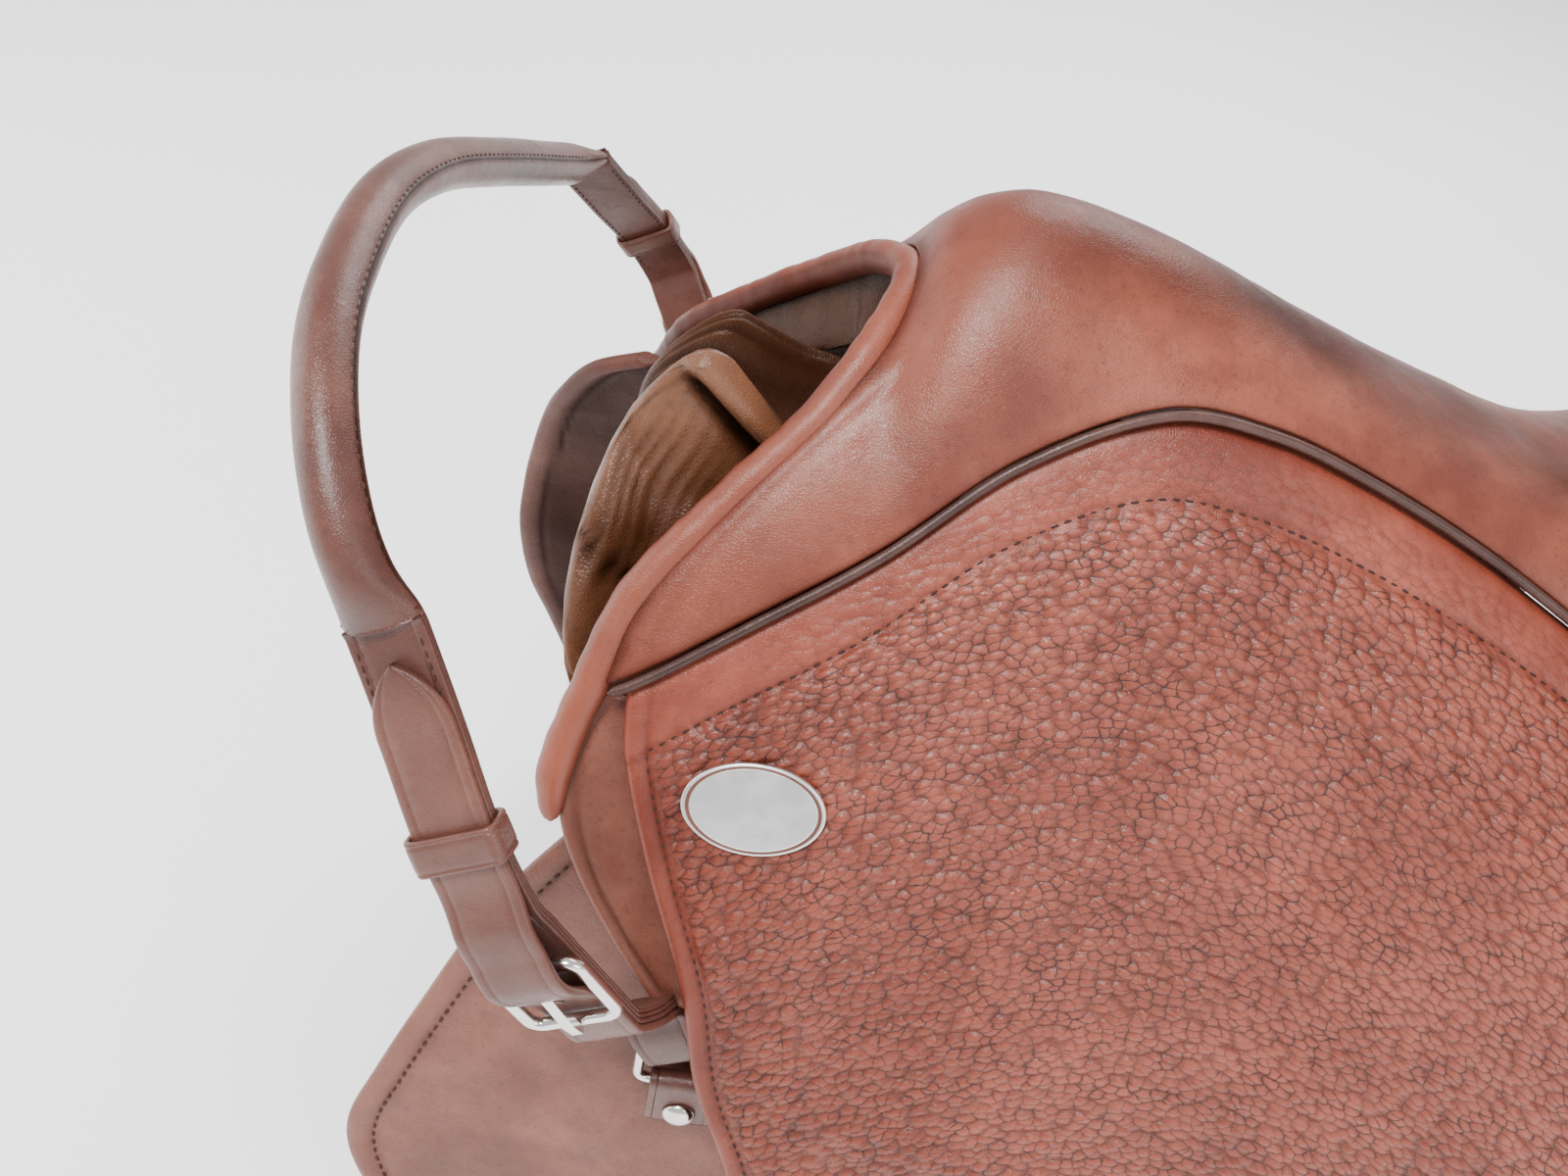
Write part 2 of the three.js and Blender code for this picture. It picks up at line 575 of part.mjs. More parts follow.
function addGirthStraps(side) {
  const [high, low] = GIRTH_DEPTH;
  for (const [place, x] of Object.entries(GIRTH_STRAPS)) {
    const below = (z) => sideHalfWidth(x, z) - (z > GIRTH_STEP_Z ? high : low);
    const line = GIRTH_LEVELS.map((z) => new THREE.Vector2(z, below(z)));
    const strap = solid(extrude(bandOutline(line, 0, GIRTH_THICK), STRAP_WIDE));
    const mesh = piece(`girth_strap_${place}_${sideName(side)}`, strap, STRAP_LEATHER);
    mesh.position.set(x, 0, 0);
    standUp(mesh, side);
  }
}

// Turns a mesh drawn (up, out) in its own x and y so that it stands on one side of the saddle.
function standUp(mesh, side) {
  const up = new THREE.Vector3(0, 0, 1);
  const out = new THREE.Vector3(0, side, 0);
  const across = new THREE.Vector3().crossVectors(up, out);
  mesh.quaternion.setFromRotationMatrix(new THREE.Matrix4().makeBasis(up, out, across));
}

// Outline of a strip that follows a line of 2-D points, from one distance beside it to another.
function bandOutline(line, from, to) {
  const beside = (i, distance) => {
    const a = line[Math.max(i - 1, 0)];
    const b = line[Math.min(i + 1, line.length - 1)];
    const along = b.clone().sub(a).normalize();
    return new THREE.Vector2(-along.y, along.x).multiplyScalar(distance).add(line[i]);
  };
  const one = line.map((_, i) => beside(i, from));
  const other = line.map((_, i) => beside(i, to)).reverse();
  return new THREE.Shape([...one, ...other]);
}

// ---------------------------------------------------------------- rings and handle
const lean = THREE.MathUtils.degToRad(HANDLE_LEAN);
const handleUp = new THREE.Vector3(-Math.cos(lean), 0, Math.sin(lean));

// A group whose x runs up the handle from the ring, whose y points out of the saddle's side.
function handleSide(side) {
  const group = new THREE.Group();
  const out = new THREE.Vector3(0, side, 0);
  const across = new THREE.Vector3().crossVectors(handleUp, out);
  group.quaternion.setFromRotationMatrix(new THREE.Matrix4().makeBasis(handleUp, out, across));
  group.position.set(RING_X, 0, RING_Z);
  saddle.add(group);
  return group;
}

function addRing(side) {
  const name = sideName(side);
  const outer = RING_BOW_R + WIRE_R;
  const shape = new THREE.Shape();
  shape.absarc(0, 0, outer, 0, Math.PI);
  shape.lineTo(-outer, -RING_LEG - WIRE_R);
  shape.lineTo(outer, -RING_LEG - WIRE_R);
  const inner = RING_BOW_R - WIRE_R;
  const hole = new THREE.Path();
  hole.absarc(0, 0, inner, 0, Math.PI);
  hole.lineTo(-inner, -RING_LEG + WIRE_R);
  hole.lineTo(inner, -RING_LEG + WIRE_R);
  shape.holes.push(hole);
  const ring = solid(extrude(shape, 2 * WIRE_R, 9)).rotateX(Math.PI / 2);
  piece(`ring_${name}`, ring, STEEL).position.set(RING_X, side * RING_Y, RING_Z);

  addRingTab(side);
}

// The tab folds round the ring's bar and runs down to its stud.
function addRingTab(side) {
  const name = sideName(side);
  const bar = RING_Z - RING_LEG;
  const wrap = WIRE_R + GAP;
  const skin = wrap + TAB_THICK;
  const close = wrap - TAB_CLOSE;
  const corners = [
    [-TAB_LONG, skin], [skin, skin], [skin, -skin], [-TAB_LONG, -skin],
    [-TAB_LONG, -close], [-wrap, -close], [-wrap, -wrap], [wrap, -wrap],
    [wrap, wrap], [-wrap, wrap], [-wrap, close], [-TAB_LONG, close],
  ];
  const outline = new THREE.Shape(corners.map(([up, out]) => new THREE.Vector2(up, out)));
  const tab = piece(`ring_tab_${name}`, solid(extrude(outline, TAB_WIDE)), STRAP_LEATHER);
  tab.position.set(RING_X, side * RING_Y, bar);
  standUp(tab, side);

  const section = STUD_SECTION.map(([r, y]) => new THREE.Vector2(r, y));
  const stud = piece(`ring_stud_${name}`, solid(new THREE.LatheGeometry(section, 14)), STEEL);
  stud.position.set(RING_X, side * (RING_Y + skin + GAP), bar - STUD_BELOW_BAR);
  stud.rotation.x = side === NEAR ? Math.PI : 0;
}

// Position and turn of a place on the strap.
function strapFrame(route, at, lift) {
  const y = profile(route);
  const angle = Math.atan2(y(at + 1) - y(at - 1), 2);
  const group = new THREE.Group();
  group.position.set(at - Math.sin(angle) * lift, y(at) + Math.cos(angle) * lift, 0);
  group.rotation.z = angle;
  return group;
}

// The strap is one strip folded round the ring: a base towards the saddle and a billet over the buckle.
function addStrap(group, side, route) {
  const y = profile(route);
  const end = route[route.length - 1][0];
  const hug = WIRE_R + GAP;
  const spread = profile([[STRAP_RING_END, hug], [21.5, hug], [32, 0.2], [300, 0.2]]);
  const baseThick = profile([[STRAP_RING_END, 3], [22, 3], [60, BASE_THICK], [300, BASE_THICK]]);
  // Height of the billet above the base, along the strap.
  const rise = profile([
    [STRAP_RING_END, 0.2], [86, 0.2], [96, 3.2], [HEEL_AT - 6, HEEL_LIFT - 1], [HEEL_AT + 2, HEEL_LIFT],
    [130, 7], [144, 1.5], [152, 0.3], [300, 0.3],
  ]);
  const beside = (u, distance) => {
    const angle = Math.atan2(y(u + 1) - y(u - 1), 2);
    return new THREE.Vector2(u - Math.sin(angle) * distance, y(u) + Math.cos(angle) * distance);
  };
  const billetOut = (u) => beside(u, spread(u) + rise(u) + BILLET_THICK);
  const billetIn = (u) => beside(u, spread(u) + rise(u));
  const baseOut = (u) => beside(u, -spread(u));
  const baseIn = (u) => beside(u, -spread(u) - baseThick(u));
  const billet = [...BILLET_STOPS, end - BILLET_SHORT];
  const base = [...BASE_STOPS, end];
  const [[shoulder, skin], [crown, nose]] = STRAP_WRAP;
  const outline = [
    ...base.map(baseIn),
    ...base.toReversed().map(baseOut),
    new THREE.Vector2(STRAP_RING_END, RING_Y - hug),
    new THREE.Vector2(STRAP_RING_END, RING_Y + hug + 0.2),
    ...billet.map(billetIn),
    ...billet.toReversed().map(billetOut),
    new THREE.Vector2(STRAP_RING_END + shoulder, RING_Y + hug + 0.2 + BILLET_THICK),
    new THREE.Vector2(STRAP_RING_END + crown, RING_Y + WIRE_R + nose),
    new THREE.Vector2(STRAP_RING_END + crown, RING_Y - WIRE_R - nose),
    new THREE.Vector2(STRAP_RING_END + shoulder, RING_Y - hug - skin),
  ];
  const prongSlot = new THREE.BoxGeometry(SLOT.long, SLOT.deep, SLOT.wide);
  const slotFrame = strapFrame(route, SLOT.at, SLOT.lift);
  prongSlot.rotateZ(slotFrame.rotation.z).translate(slotFrame.position.x, slotFrame.position.y, 0);
  const strap = cut(extrude(new THREE.Shape(outline), STRAP_WIDE), prongSlot);
  piece(`handle_strap_${sideName(side)}`, strap, STRAP_LEATHER, group);
}

function addKeeper(group, side, route) {
  const place = strapFrame(route, KEEPER_AT, 0);
  group.add(place);
  const half = STRAP_WIDE / 2 + KEEPER_EASE;
  const low = -BASE_THICK - 0.8;
  const high = BILLET_THICK + 1.2;
  const loop = roundedRect(
    low - KEEPER_THICK, -half - KEEPER_THICK, high + KEEPER_THICK, half + KEEPER_THICK, 2);
  loop.holes.push(roundedRect(low, -half, high, half, 0.5));
  const band = solid(extrude(loop, KEEPER_LONG, 2));
  const mesh = piece(`handle_keeper_${sideName(side)}`, band, STRAP_LEATHER, place);
  // The loop's outline is drawn (out, across); its depth runs along the strap.
  mesh.quaternion.setFromRotationMatrix(new THREE.Matrix4().makeBasis(
    new THREE.Vector3(0, 1, 0), new THREE.Vector3(0, 0, 1), new THREE.Vector3(1, 0, 0)));
}

function addBuckle(group, side, route) {
  const place = strapFrame(route, BUCKLE_AT, BUCKLE_LIFT);
  group.add(place);
  const halfLong = BUCKLE_LONG / 2;
  const bevel = 0.9;
  const shape = roundedRect(-halfLong, -BUCKLE_HALF_WIDE, halfLong, BUCKLE_HALF_WIDE, 5);
  const [openLong, openWide] = [halfLong - BUCKLE_BAR, BUCKLE_HALF_WIDE - BUCKLE_BAR];
  shape.holes.push(roundedRect(-openLong, -openWide, openLong, openWide, 1.8));
  const frame = new THREE.ExtrudeGeometry(shape, {
    depth: BUCKLE_THICK - 2 * bevel, bevelEnabled: true, bevelThickness: bevel, bevelSize: bevel,
    bevelOffset: -bevel, bevelSegments: 2, curveSegments: 4,
  });
  frame.translate(0, 0, -BUCKLE_THICK / 2 + bevel).rotateX(Math.PI / 2);
  piece(`buckle_frame_${sideName(side)}`, solid(frame), STEEL, place);

  // The prong turns on the heel bar and rests on the outer bar.
  const heel = new THREE.Group();
  heel.position.set(halfLong - BUCKLE_BAR / 2, 0, 0);
  place.add(heel);
  const reach = BUCKLE_LONG - BUCKLE_BAR + 1.6;
  const rest = BUCKLE_THICK / 2 + GAP;
  const neck = Math.asin(PRONG_NECK / HUB_R);
  const prong = new THREE.Shape();
  prong.absarc(0, 0, HUB_R, Math.PI - neck, neck - Math.PI, true);
  prong.lineTo(-reach * 0.35, 0.6);
  prong.lineTo(-reach + PRONG_TIP, rest);
  prong.lineTo(-reach, rest);
  prong.lineTo(-reach, rest + 2.2);
  prong.lineTo(-reach + PRONG_TIP, rest + 3);
  prong.lineTo(-reach * 0.35, 4);
  const bore = new THREE.Path();
  bore.absarc(0, 0, HUB_BORE_R, 0, 2 * Math.PI);
  prong.holes.push(bore);
  piece(`buckle_prong_${sideName(side)}`, solid(extrude(prong, PRONG_WIDE, 6)), STEEL, heel);
}

function addHandleSide(side, route) {
  const group = handleSide(side);
  addStrap(group, side, route);
  addKeeper(group, side, route);
  addBuckle(group, side, route);
}

function addGrip() {
  const points = GRIP_ROUTE.map(([u, y]) => new THREE.Vector3(RING_X, y, RING_Z).addScaledVector(handleUp, u));
  piece('handle_grip', tube(points, GRIP_R, 12, 30), STRAP_LEATHER);
}

addSeat();
addPommel();
for (const side of [NEAR, FAR]) {
  addWelt(side);
  addFlap(side);
  addSweatFlap(side);
  addPanel(side);
  addStirrupBar(side);
  addStrapWeb(side);
  addGirthStraps(side);
  addRing(side);
}
addHandleSide(NEAR, NEAR_STRAP);
addHandleSide(FAR, FAR_STRAP);
addGrip();

export default saddle;
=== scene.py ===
import math

import bpy
import numpy as np
from mathutils import Matrix, Vector


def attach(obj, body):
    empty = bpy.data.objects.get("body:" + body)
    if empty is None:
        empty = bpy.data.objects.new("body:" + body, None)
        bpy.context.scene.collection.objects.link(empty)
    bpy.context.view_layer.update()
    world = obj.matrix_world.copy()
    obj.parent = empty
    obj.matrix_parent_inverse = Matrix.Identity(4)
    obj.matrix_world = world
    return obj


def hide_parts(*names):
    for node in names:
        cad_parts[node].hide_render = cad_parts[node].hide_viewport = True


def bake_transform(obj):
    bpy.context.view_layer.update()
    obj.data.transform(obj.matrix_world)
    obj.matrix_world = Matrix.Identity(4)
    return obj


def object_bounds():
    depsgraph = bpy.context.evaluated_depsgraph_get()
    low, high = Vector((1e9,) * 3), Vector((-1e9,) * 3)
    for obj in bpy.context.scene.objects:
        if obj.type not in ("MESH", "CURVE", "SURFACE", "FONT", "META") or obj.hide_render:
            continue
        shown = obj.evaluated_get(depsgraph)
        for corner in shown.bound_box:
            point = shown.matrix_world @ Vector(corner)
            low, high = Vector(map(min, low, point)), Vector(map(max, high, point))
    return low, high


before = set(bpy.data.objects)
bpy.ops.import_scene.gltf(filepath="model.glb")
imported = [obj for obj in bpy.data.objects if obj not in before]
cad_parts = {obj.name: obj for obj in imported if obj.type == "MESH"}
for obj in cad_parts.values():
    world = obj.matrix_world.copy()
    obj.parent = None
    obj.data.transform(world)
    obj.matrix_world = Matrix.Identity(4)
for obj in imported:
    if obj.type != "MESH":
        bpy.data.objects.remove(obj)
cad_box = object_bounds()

MM = 0.001
NEAR = -1
FAR = 1
SIDES = (("near", NEAR), ("far", FAR))
rng = np.random.default_rng(7)

# ---------------------------------------------------------------- camera and room
CAMERA_AT = (-0.2479, -0.4356, 0.3980)
CAMERA_AZIMUTH = -4
CAMERA_ELEVATION = 40
CAMERA_ROLL = 12
CAMERA_LENS = 32.625
SENSOR_WIDTH = 36


def make_camera():
    a, e, r = (math.radians(v) for v in (CAMERA_AZIMUTH, CAMERA_ELEVATION, CAMERA_ROLL))
    back = Vector((math.sin(a) * math.cos(e), -math.cos(a) * math.cos(e), math.sin(e)))
    level = Vector((math.cos(a), math.sin(a), 0))
    upright = back.cross(level)
    right = level * math.cos(r) + upright * math.sin(r)
    up = upright * math.cos(r) - level * math.sin(r)
    data = bpy.data.cameras.new("camera")
    data.lens = CAMERA_LENS
    data.sensor_width = SENSOR_WIDTH
    data.clip_start = 0.01
    camera = bpy.data.objects.new("camera", data)
    bpy.context.scene.collection.objects.link(camera)
    turn = Matrix((right, up, back)).transposed().to_4x4()
    camera.matrix_world = Matrix.Translation(CAMERA_AT) @ turn
    bpy.context.scene.camera = camera


def aim(obj, at, target):
    direction = Vector(target) - Vector(at)
    obj.matrix_world = Matrix.Translation(at) @ direction.to_track_quat("-Z", "Y").to_matrix().to_4x4()


def area_light(name, at, size, power, colour=(1, 1, 1)):
    data = bpy.data.lights.new(name, "AREA")
    data.shape = "DISK"
    data.size = size
    data.energy = power
    data.color = colour
    lamp = bpy.data.objects.new(name, data)
    bpy.context.scene.collection.objects.link(lamp)
    aim(lamp, at, (-0.15, -0.05, 0.0))


def make_room():
    area_light("key", (-0.7, -0.9, 1.9), 0.7, 62, (1.0, 0.98, 0.97))
    area_light("fill", (1.2, -1.5, 0.9), 1.4, 16, (0.97, 0.98, 1.0))
    area_light("rim", (0.4, 1.6, 1.4), 1.4, 30)
    area_light("front", (-1.6, 0.2, 0.4), 1.2, 12)
    world = bpy.data.worlds.new("studio")
    bpy.context.scene.world = world
    world.use_nodes = True
    background = world.node_tree.nodes["Background"]
    background.inputs["Color"].default_value = (0.98, 0.985, 1.0, 1)
    background.inputs["Strength"].default_value = 0.8
    bpy.ops.mesh.primitive_circle_add(vertices=96, radius=7, fill_type="NGON")
    floor = bpy.context.object
    floor.name = "floor"
    floor.location.z = cad_box[0].z - 0.001
    floor.data.materials.append(floor_material())


# ---------------------------------------------------------------- node helpers
def srgb(r, g, b):
    channel = lambda v: v / 255 / 12.92 if v / 255 <= 0.04045 else ((v / 255 + 0.055) / 1.055) ** 2.4
    return (channel(r), channel(g), channel(b), 1)


class Shader:
    """Short calls for building one material's node tree."""

    def __init__(self, name):
        self.material = bpy.data.materials.new(name)
        self.material.use_nodes = True
        self.tree = self.material.node_tree
        self.tree.nodes.clear()
        self.output = self.tree.nodes.new("ShaderNodeOutputMaterial")
        self.bsdf = self.tree.nodes.new("ShaderNodeBsdfPrincipled")
        self.link(self.bsdf.outputs[0], self.output.inputs["Surface"])

    def link(self, a, b):
        self.tree.links.new(a, b)

    def put(self, socket, value):
        if isinstance(value, bpy.types.NodeSocket):
            self.link(value, socket)
        else:
            socket.default_value = value

    def node(self, kind, settings=None, **inputs):
        made = self.tree.nodes.new(kind)
        for key, value in (settings or {}).items():
            setattr(made, key, value)
        for key, value in inputs.items():
            self.put(made.inputs[key.replace("_", " ")], value)
        return made

    def attribute(self, name):
        return self.node("ShaderNodeAttribute", {"attribute_name": name})

    def number(self, name):
        return self.attribute(name).outputs["Fac"]

    def place(self, name, scale=(1, 1, 1)):
        if name:
            source = self.attribute(name).outputs["Vector"]
        else:
            source = self.node("ShaderNodeTexCoord").outputs["Object"]
        mapping = self.node("ShaderNodeMapping", Vector=source)
        mapping.inputs["Scale"].default_value = scale
        return mapping.outputs[0]

    def noise(self, vector, scale, detail=3, rough=0.5, output="Fac"):
        made = self.node("ShaderNodeTexNoise", Vector=vector, Scale=scale, Detail=detail, Roughness=rough)
        return made.outputs[output]

    def math(self, operation, a, b=0.0, clamp=False):
        made = self.tree.nodes.new("ShaderNodeMath")
        made.operation = operation
        made.use_clamp = clamp
        self.put(made.inputs[0], a)
        self.put(made.inputs[1], b)
        return made.outputs[0]

    def ramp(self, value, low, high, to_low=0.0, to_high=1.0):
        made = self.node("ShaderNodeMapRange", {"interpolation_type": "SMOOTHSTEP"})
        keys = ("Value", "From Min", "From Max", "To Min", "To Max")
        for key, setting in zip(keys, (value, low, high, to_low, to_high)):
            self.put(made.inputs[key], setting)
        return made.outputs[0]

    def mix(self, factor, a, b):
        made = self.node("ShaderNodeMix", {"data_type": "RGBA"})
        self.put(made.inputs["Factor"], factor)
        self.put(made.inputs["A"], a)
        self.put(made.inputs["B"], b)
        return made.outputs["Result"]

    def warp(self, vector, scale, amount):
        shake = self.noise(vector, scale, 2, 0.5, "Color")
        centred = self.node("ShaderNodeVectorMath", {"operation": "SUBTRACT"})
        self.link(shake, centred.inputs[0])
        centred.inputs[1].default_value = (0.5, 0.5, 0.5)
        sized = self.node("ShaderNodeVectorMath", {"operation": "SCALE"})
        self.link(centred.outputs[0], sized.inputs[0])
        sized.inputs["Scale"].default_value = amount
        moved = self.node("ShaderNodeVectorMath", {"operation": "ADD"})
        self.link(vector, moved.inputs[0])
        self.link(sized.outputs[0], moved.inputs[1])
        return moved.outputs[0]

    def bump(self, height, distance, strength=1.0, normal=None):
        made = self.node("ShaderNodeBump", Height=height, Distance=distance, Strength=strength)
        if normal is not None:
            self.link(normal, made.inputs["Normal"])
        return made.outputs[0]

    def finish(self, **inputs):
        for key, value in inputs.items():
            self.put(self.bsdf.inputs[key.replace("_", " ")], value)
        return self.material


def floor_material():
    s = Shader("pale_floor")
    at = s.place(None)
    tint = s.mix(s.noise(at, 3), (0.93, 0.93, 0.93, 1), (0.97, 0.97, 0.97, 1))
    return s.finish(Base_Color=tint, Roughness=0.9, Emission_Color=tint, Emission_Strength=0.6)


PEBBLE_SCALE = (205, 320, 1)         # cells per metre along and across the flap
PEBBLE_WARP = (0.9, 0.8)             # noise scale and amount, in cells
PEBBLE_RANDOMNESS = 0.9


def pebble_distance(nodes, vector):
    """Distance from the nearest crease between the pebbles of the grain, in cells."""
    cells = nodes.warp(vector, *PEBBLE_WARP)
    return nodes.node(
        "ShaderNodeTexVoronoi", {"voronoi_dimensions": "2D", "feature": "DISTANCE_TO_EDGE"},
        Vector=cells, Scale=1.0, Randomness=PEBBLE_RANDOMNESS).outputs["Distance"]


def leather(name, dark, mid, light, roughness=0.45, pores=1100, pore_depth=0.00006, pebbled=False, coat=0.08,
            coords="rest"):
    s = Shader(name)
    at = s.place(coords)
    broad = s.ramp(s.noise(at, 16, 4, 0.6), 0.3, 0.7)
    patchy = s.ramp(s.noise(at, 75, 5, 0.65), 0.35, 0.7)
    colour = s.mix(s.math("MULTIPLY", patchy, 0.45), s.mix(broad, mid, light), mid)
    speck = s.ramp(s.noise(at, 420, 3, 0.7), 0.52, 0.72)
    colour = s.mix(s.math("MULTIPLY", speck, 0.3), colour, dark)
    # lighter where this attribute is high: real wear on most pieces, painted highlights on the grip's upper
    # side and on the panels' gather ridges and pleat
    worn = s.number("worn")
    wear = s.math("ADD", 0.55, s.math("MULTIPLY", patchy, 0.45))
    colour = s.mix(s.math("MULTIPLY", worn, wear), colour, light)
    shade = s.number("shade")
    colour = s.mix(s.math("MULTIPLY", shade, 0.9), colour, dark)
    # scuffs: short pale scratches with a long direction
    streak = s.noise(s.place(coords, (60, 420, 150)), 1.0, 4, 0.6)
    scuff = s.math("MULTIPLY", s.ramp(streak, 0.66, 0.74), s.ramp(s.noise(at, 22, 2), 0.5, 0.62))
    colour = s.mix(s.math("MULTIPLY", scuff, 0.35), colour, light)
    cell = s.node("ShaderNodeTexVoronoi", {"feature": "DISTANCE_TO_EDGE"}, Vector=s.warp(at, 900, 0.0004),
                  Scale=float(pores), Randomness=1.0).outputs["Distance"]
    pore = s.ramp(cell, 0.0, 0.28)
    fine = s.bump(pore, pore_depth)
    swell = s.bump(s.noise(at, 140, 3, 0.55), 0.0006, 0.55, fine)
    rough = s.ramp(s.noise(at, 60, 4, 0.6), 0.2, 0.8, roughness - 0.08, roughness + 0.1)
    normal = swell
    if pebbled:
        grain = s.number("grain")
        flat = s.place("rest", PEBBLE_SCALE)
        distance = pebble_distance(s, flat)
        uneven = s.ramp(s.noise(flat, 0.32, 3, 0.6), 0.3, 0.7)
        crease = s.ramp(distance, 0.0, s.math("ADD", 0.05, s.math("MULTIPLY", uneven, 0.08)))
        cells = s.node(
            "ShaderNodeTexVoronoi", {"voronoi_dimensions": "2D"}, Vector=s.warp(flat, *PEBBLE_WARP),
            Scale=1.0, Randomness=PEBBLE_RANDOMNESS)
        from_middle = cells.outputs["Distance"]
        dome = s.math("SUBTRACT", 1.0, s.math("MULTIPLY", from_middle, from_middle))
        # painted shade on the pebbles' flanks, darker toward each pebble's border
        flank = s.math("MULTIPLY", s.ramp(from_middle, 0.2, 0.62), grain)
        colour = s.mix(s.math("MULTIPLY", flank, 0.4), colour, dark)
        tint = s.node("ShaderNodeSeparateColor", Color=cells.outputs["Color"]).outputs[0]
        colour = s.mix(s.math("MULTIPLY", s.math("MULTIPLY", tint, grain), 0.28), colour, light)
        # painted shade in the creases between the pebbles
        hollow = s.math("MULTIPLY", s.math("SUBTRACT", 1.0, crease), grain)
        depth = s.math("ADD", 0.35, s.math("MULTIPLY", uneven, 0.6))
        colour = s.mix(s.math("MULTIPLY", hollow, depth), colour, dark)
        normal = s.bump(s.math("MULTIPLY", dome, grain), 0.0014, 0.7, normal)
        rough = s.math("ADD", rough, s.math("MULTIPLY", hollow, 0.2))
    open_side = s.math("SUBTRACT", 1.0, s.math("MULTIPLY", shade, 0.9))
    return s.finish(Base_Color=colour, Roughness=rough, Normal=normal, Coat_Roughness=0.35,
                    Coat_Weight=s.math("MULTIPLY", open_side, coat),
                    Specular_IOR_Level=s.math("MULTIPLY", open_side, 0.42))


def steel(name, tint, roughness, brushed=(300, 2500, 300), depth=0.00001, coords="rest"):
    s = Shader(name)
    at = s.place(coords)
    smear = s.ramp(s.noise(at, 90, 4, 0.6), 0.3, 0.75)
    colour = s.mix(s.math("MULTIPLY", smear, 0.35), tint, tuple(v * 0.72 for v in tint[:3]) + (1,))
    fine = s.noise(s.place(coords, brushed), 1.0, 3)
    rough = s.ramp(smear, 0, 1, roughness, roughness + 0.13)
    normal = s.bump(fine, depth, 0.6, s.bump(s.noise(at, 260, 2), 0.0002, 0.25))
    return s.finish(Base_Color=colour, Roughness=rough, Normal=normal, Metallic=1.0)


def thread_material(name, tint):
    s = Shader(name)
    at = s.place("rest")
    twist = s.noise(s.place("rest", (2600, 2600, 2600)), 1.0, 2)
    colour = s.mix(s.ramp(s.noise(at, 300, 3), 0.3, 0.7), tint, tuple(v * 0.55 for v in tint[:3]) + (1,))
    return s.finish(Base_Color=colour, Roughness=0.75, Normal=s.bump(twist, 0.0001))


def woven_material(name, tint):
    s = Shader(name)
    at = s.place("rest")
    waves = [
        s.node("ShaderNodeTexWave", {"bands_direction": way}, Vector=at, Scale=900.0, Distortion=0.6)
        for way in ("X", "Z")]
    warp, weft = (wave.outputs["Fac"] for wave in waves)
    weave = s.math("MAXIMUM", warp, weft)
    colour = s.mix(weave, tuple(v * 0.5 for v in tint[:3]) + (1,), tint)
    return s.finish(Base_Color=colour, Roughness=0.85, Normal=s.bump(weave, 0.0002))


def foam_material(name, tint):
    s = Shader(name)
    at = s.place("rest")
    cells = s.node("ShaderNodeTexVoronoi", Vector=at, Scale=900.0).outputs["Distance"]
    colour = s.mix(s.ramp(cells, 0.2, 0.9), tint, tuple(v * 0.7 for v in tint[:3]) + (1,))
    return s.finish(Base_Color=colour, Roughness=0.95, Normal=s.bump(cells, 0.0004))


def wood_material(name, light, dark):
    s = Shader(name)
    ring = s.noise(s.place(None, (12, 160, 420)), 1.0, 5, 0.6)
    colour = s.mix(s.ramp(ring, 0.35, 0.65), light, dark)
    return s.finish(Base_Color=colour, Roughness=0.6, Normal=s.bump(ring, 0.0003))


# ---------------------------------------------------------------- mesh helpers
def quads_of(index):
    return np.stack([index[:-1, :-1], index[1:, :-1], index[1:, 1:], index[:-1, 1:]], -1).reshape(-1, 4)


def facing_out(points, faces):
    """The faces, all turned round if they enclose the points inside out."""
    volume = 0.0
    for group in faces:
        for k in range(1, group.shape[1] - 1):
            a, b, c = (points[group[:, i]] for i in (0, k, k + 1))
            volume += np.einsum("ij,ij->", a, np.cross(b, c))
    return [group[:, ::-1] if volume < 0 else group for group in faces]


def add_piece(name, points, faces, material, slot=None, coords=None, **numbers):
    """A smooth mesh from points in mm; faces is a list of arrays of corner numbers."""
    points = np.asarray(points, float)
    faces = facing_out(points, faces)
    mesh = bpy.data.meshes.new(name)
    mesh.from_pydata((points * MM).tolist(), [], [tuple(f) for group in faces for f in group.tolist()])
    mesh.update()
    rest = mesh.attributes.new("rest", "FLOAT_VECTOR", "POINT")
    rest.data.foreach_set("vector", ((points if coords is None else coords) * MM).astype(np.float32).ravel())
    for key, values in numbers.items():
        store = mesh.attributes.new(key, "FLOAT", "POINT")
        store.data.foreach_set("value", np.broadcast_to(values, len(points)).astype(np.float32).ravel())
    mesh.materials.append(material)
    mesh.shade_smooth()
    obj = bpy.data.objects.new(name, mesh)
    bpy.context.scene.collection.objects.link(obj)
    return obj


def shell(outer, inner):
    """Points and faces of a closed shell between two grids of the same shape."""
    nu, nv = outer.shape[:2]
    count = nu * nv
    index = np.arange(count).reshape(nu, nv)
    rim = np.concatenate([index[0], index[1:, -1], index[-1, -2::-1], index[-2:0:-1, 0]])
    onward = np.roll(rim, -1)
    side_wall = np.stack([rim, onward, onward + count, rim + count], -1)
    faces = [quads_of(index), quads_of(index + count)[:, ::-1], side_wall]
    return np.concatenate([outer.reshape(-1, 3), inner.reshape(-1, 3)]), faces


def sweep(path, across, upward, section, closed=False):
    """Points and faces of a section swept along a path; section[i, j] is (across, upward) in mm."""
    points = path[:, None] + section[..., 0:1] * across[:, None] + section[..., 1:2] * upward[:, None]
    n, m = points.shape[:2]
    index = np.arange(n * m).reshape(n, m)
    index = np.concatenate([index, index[:, :1]], 1)
    if closed:
        index = np.concatenate([index, index[:1]], 0)
    faces = [quads_of(index)]
    if not closed:
        faces += [index[:1, :-1][:, ::-1], index[-1:, :-1]]
    return points.reshape(-1, 3), faces


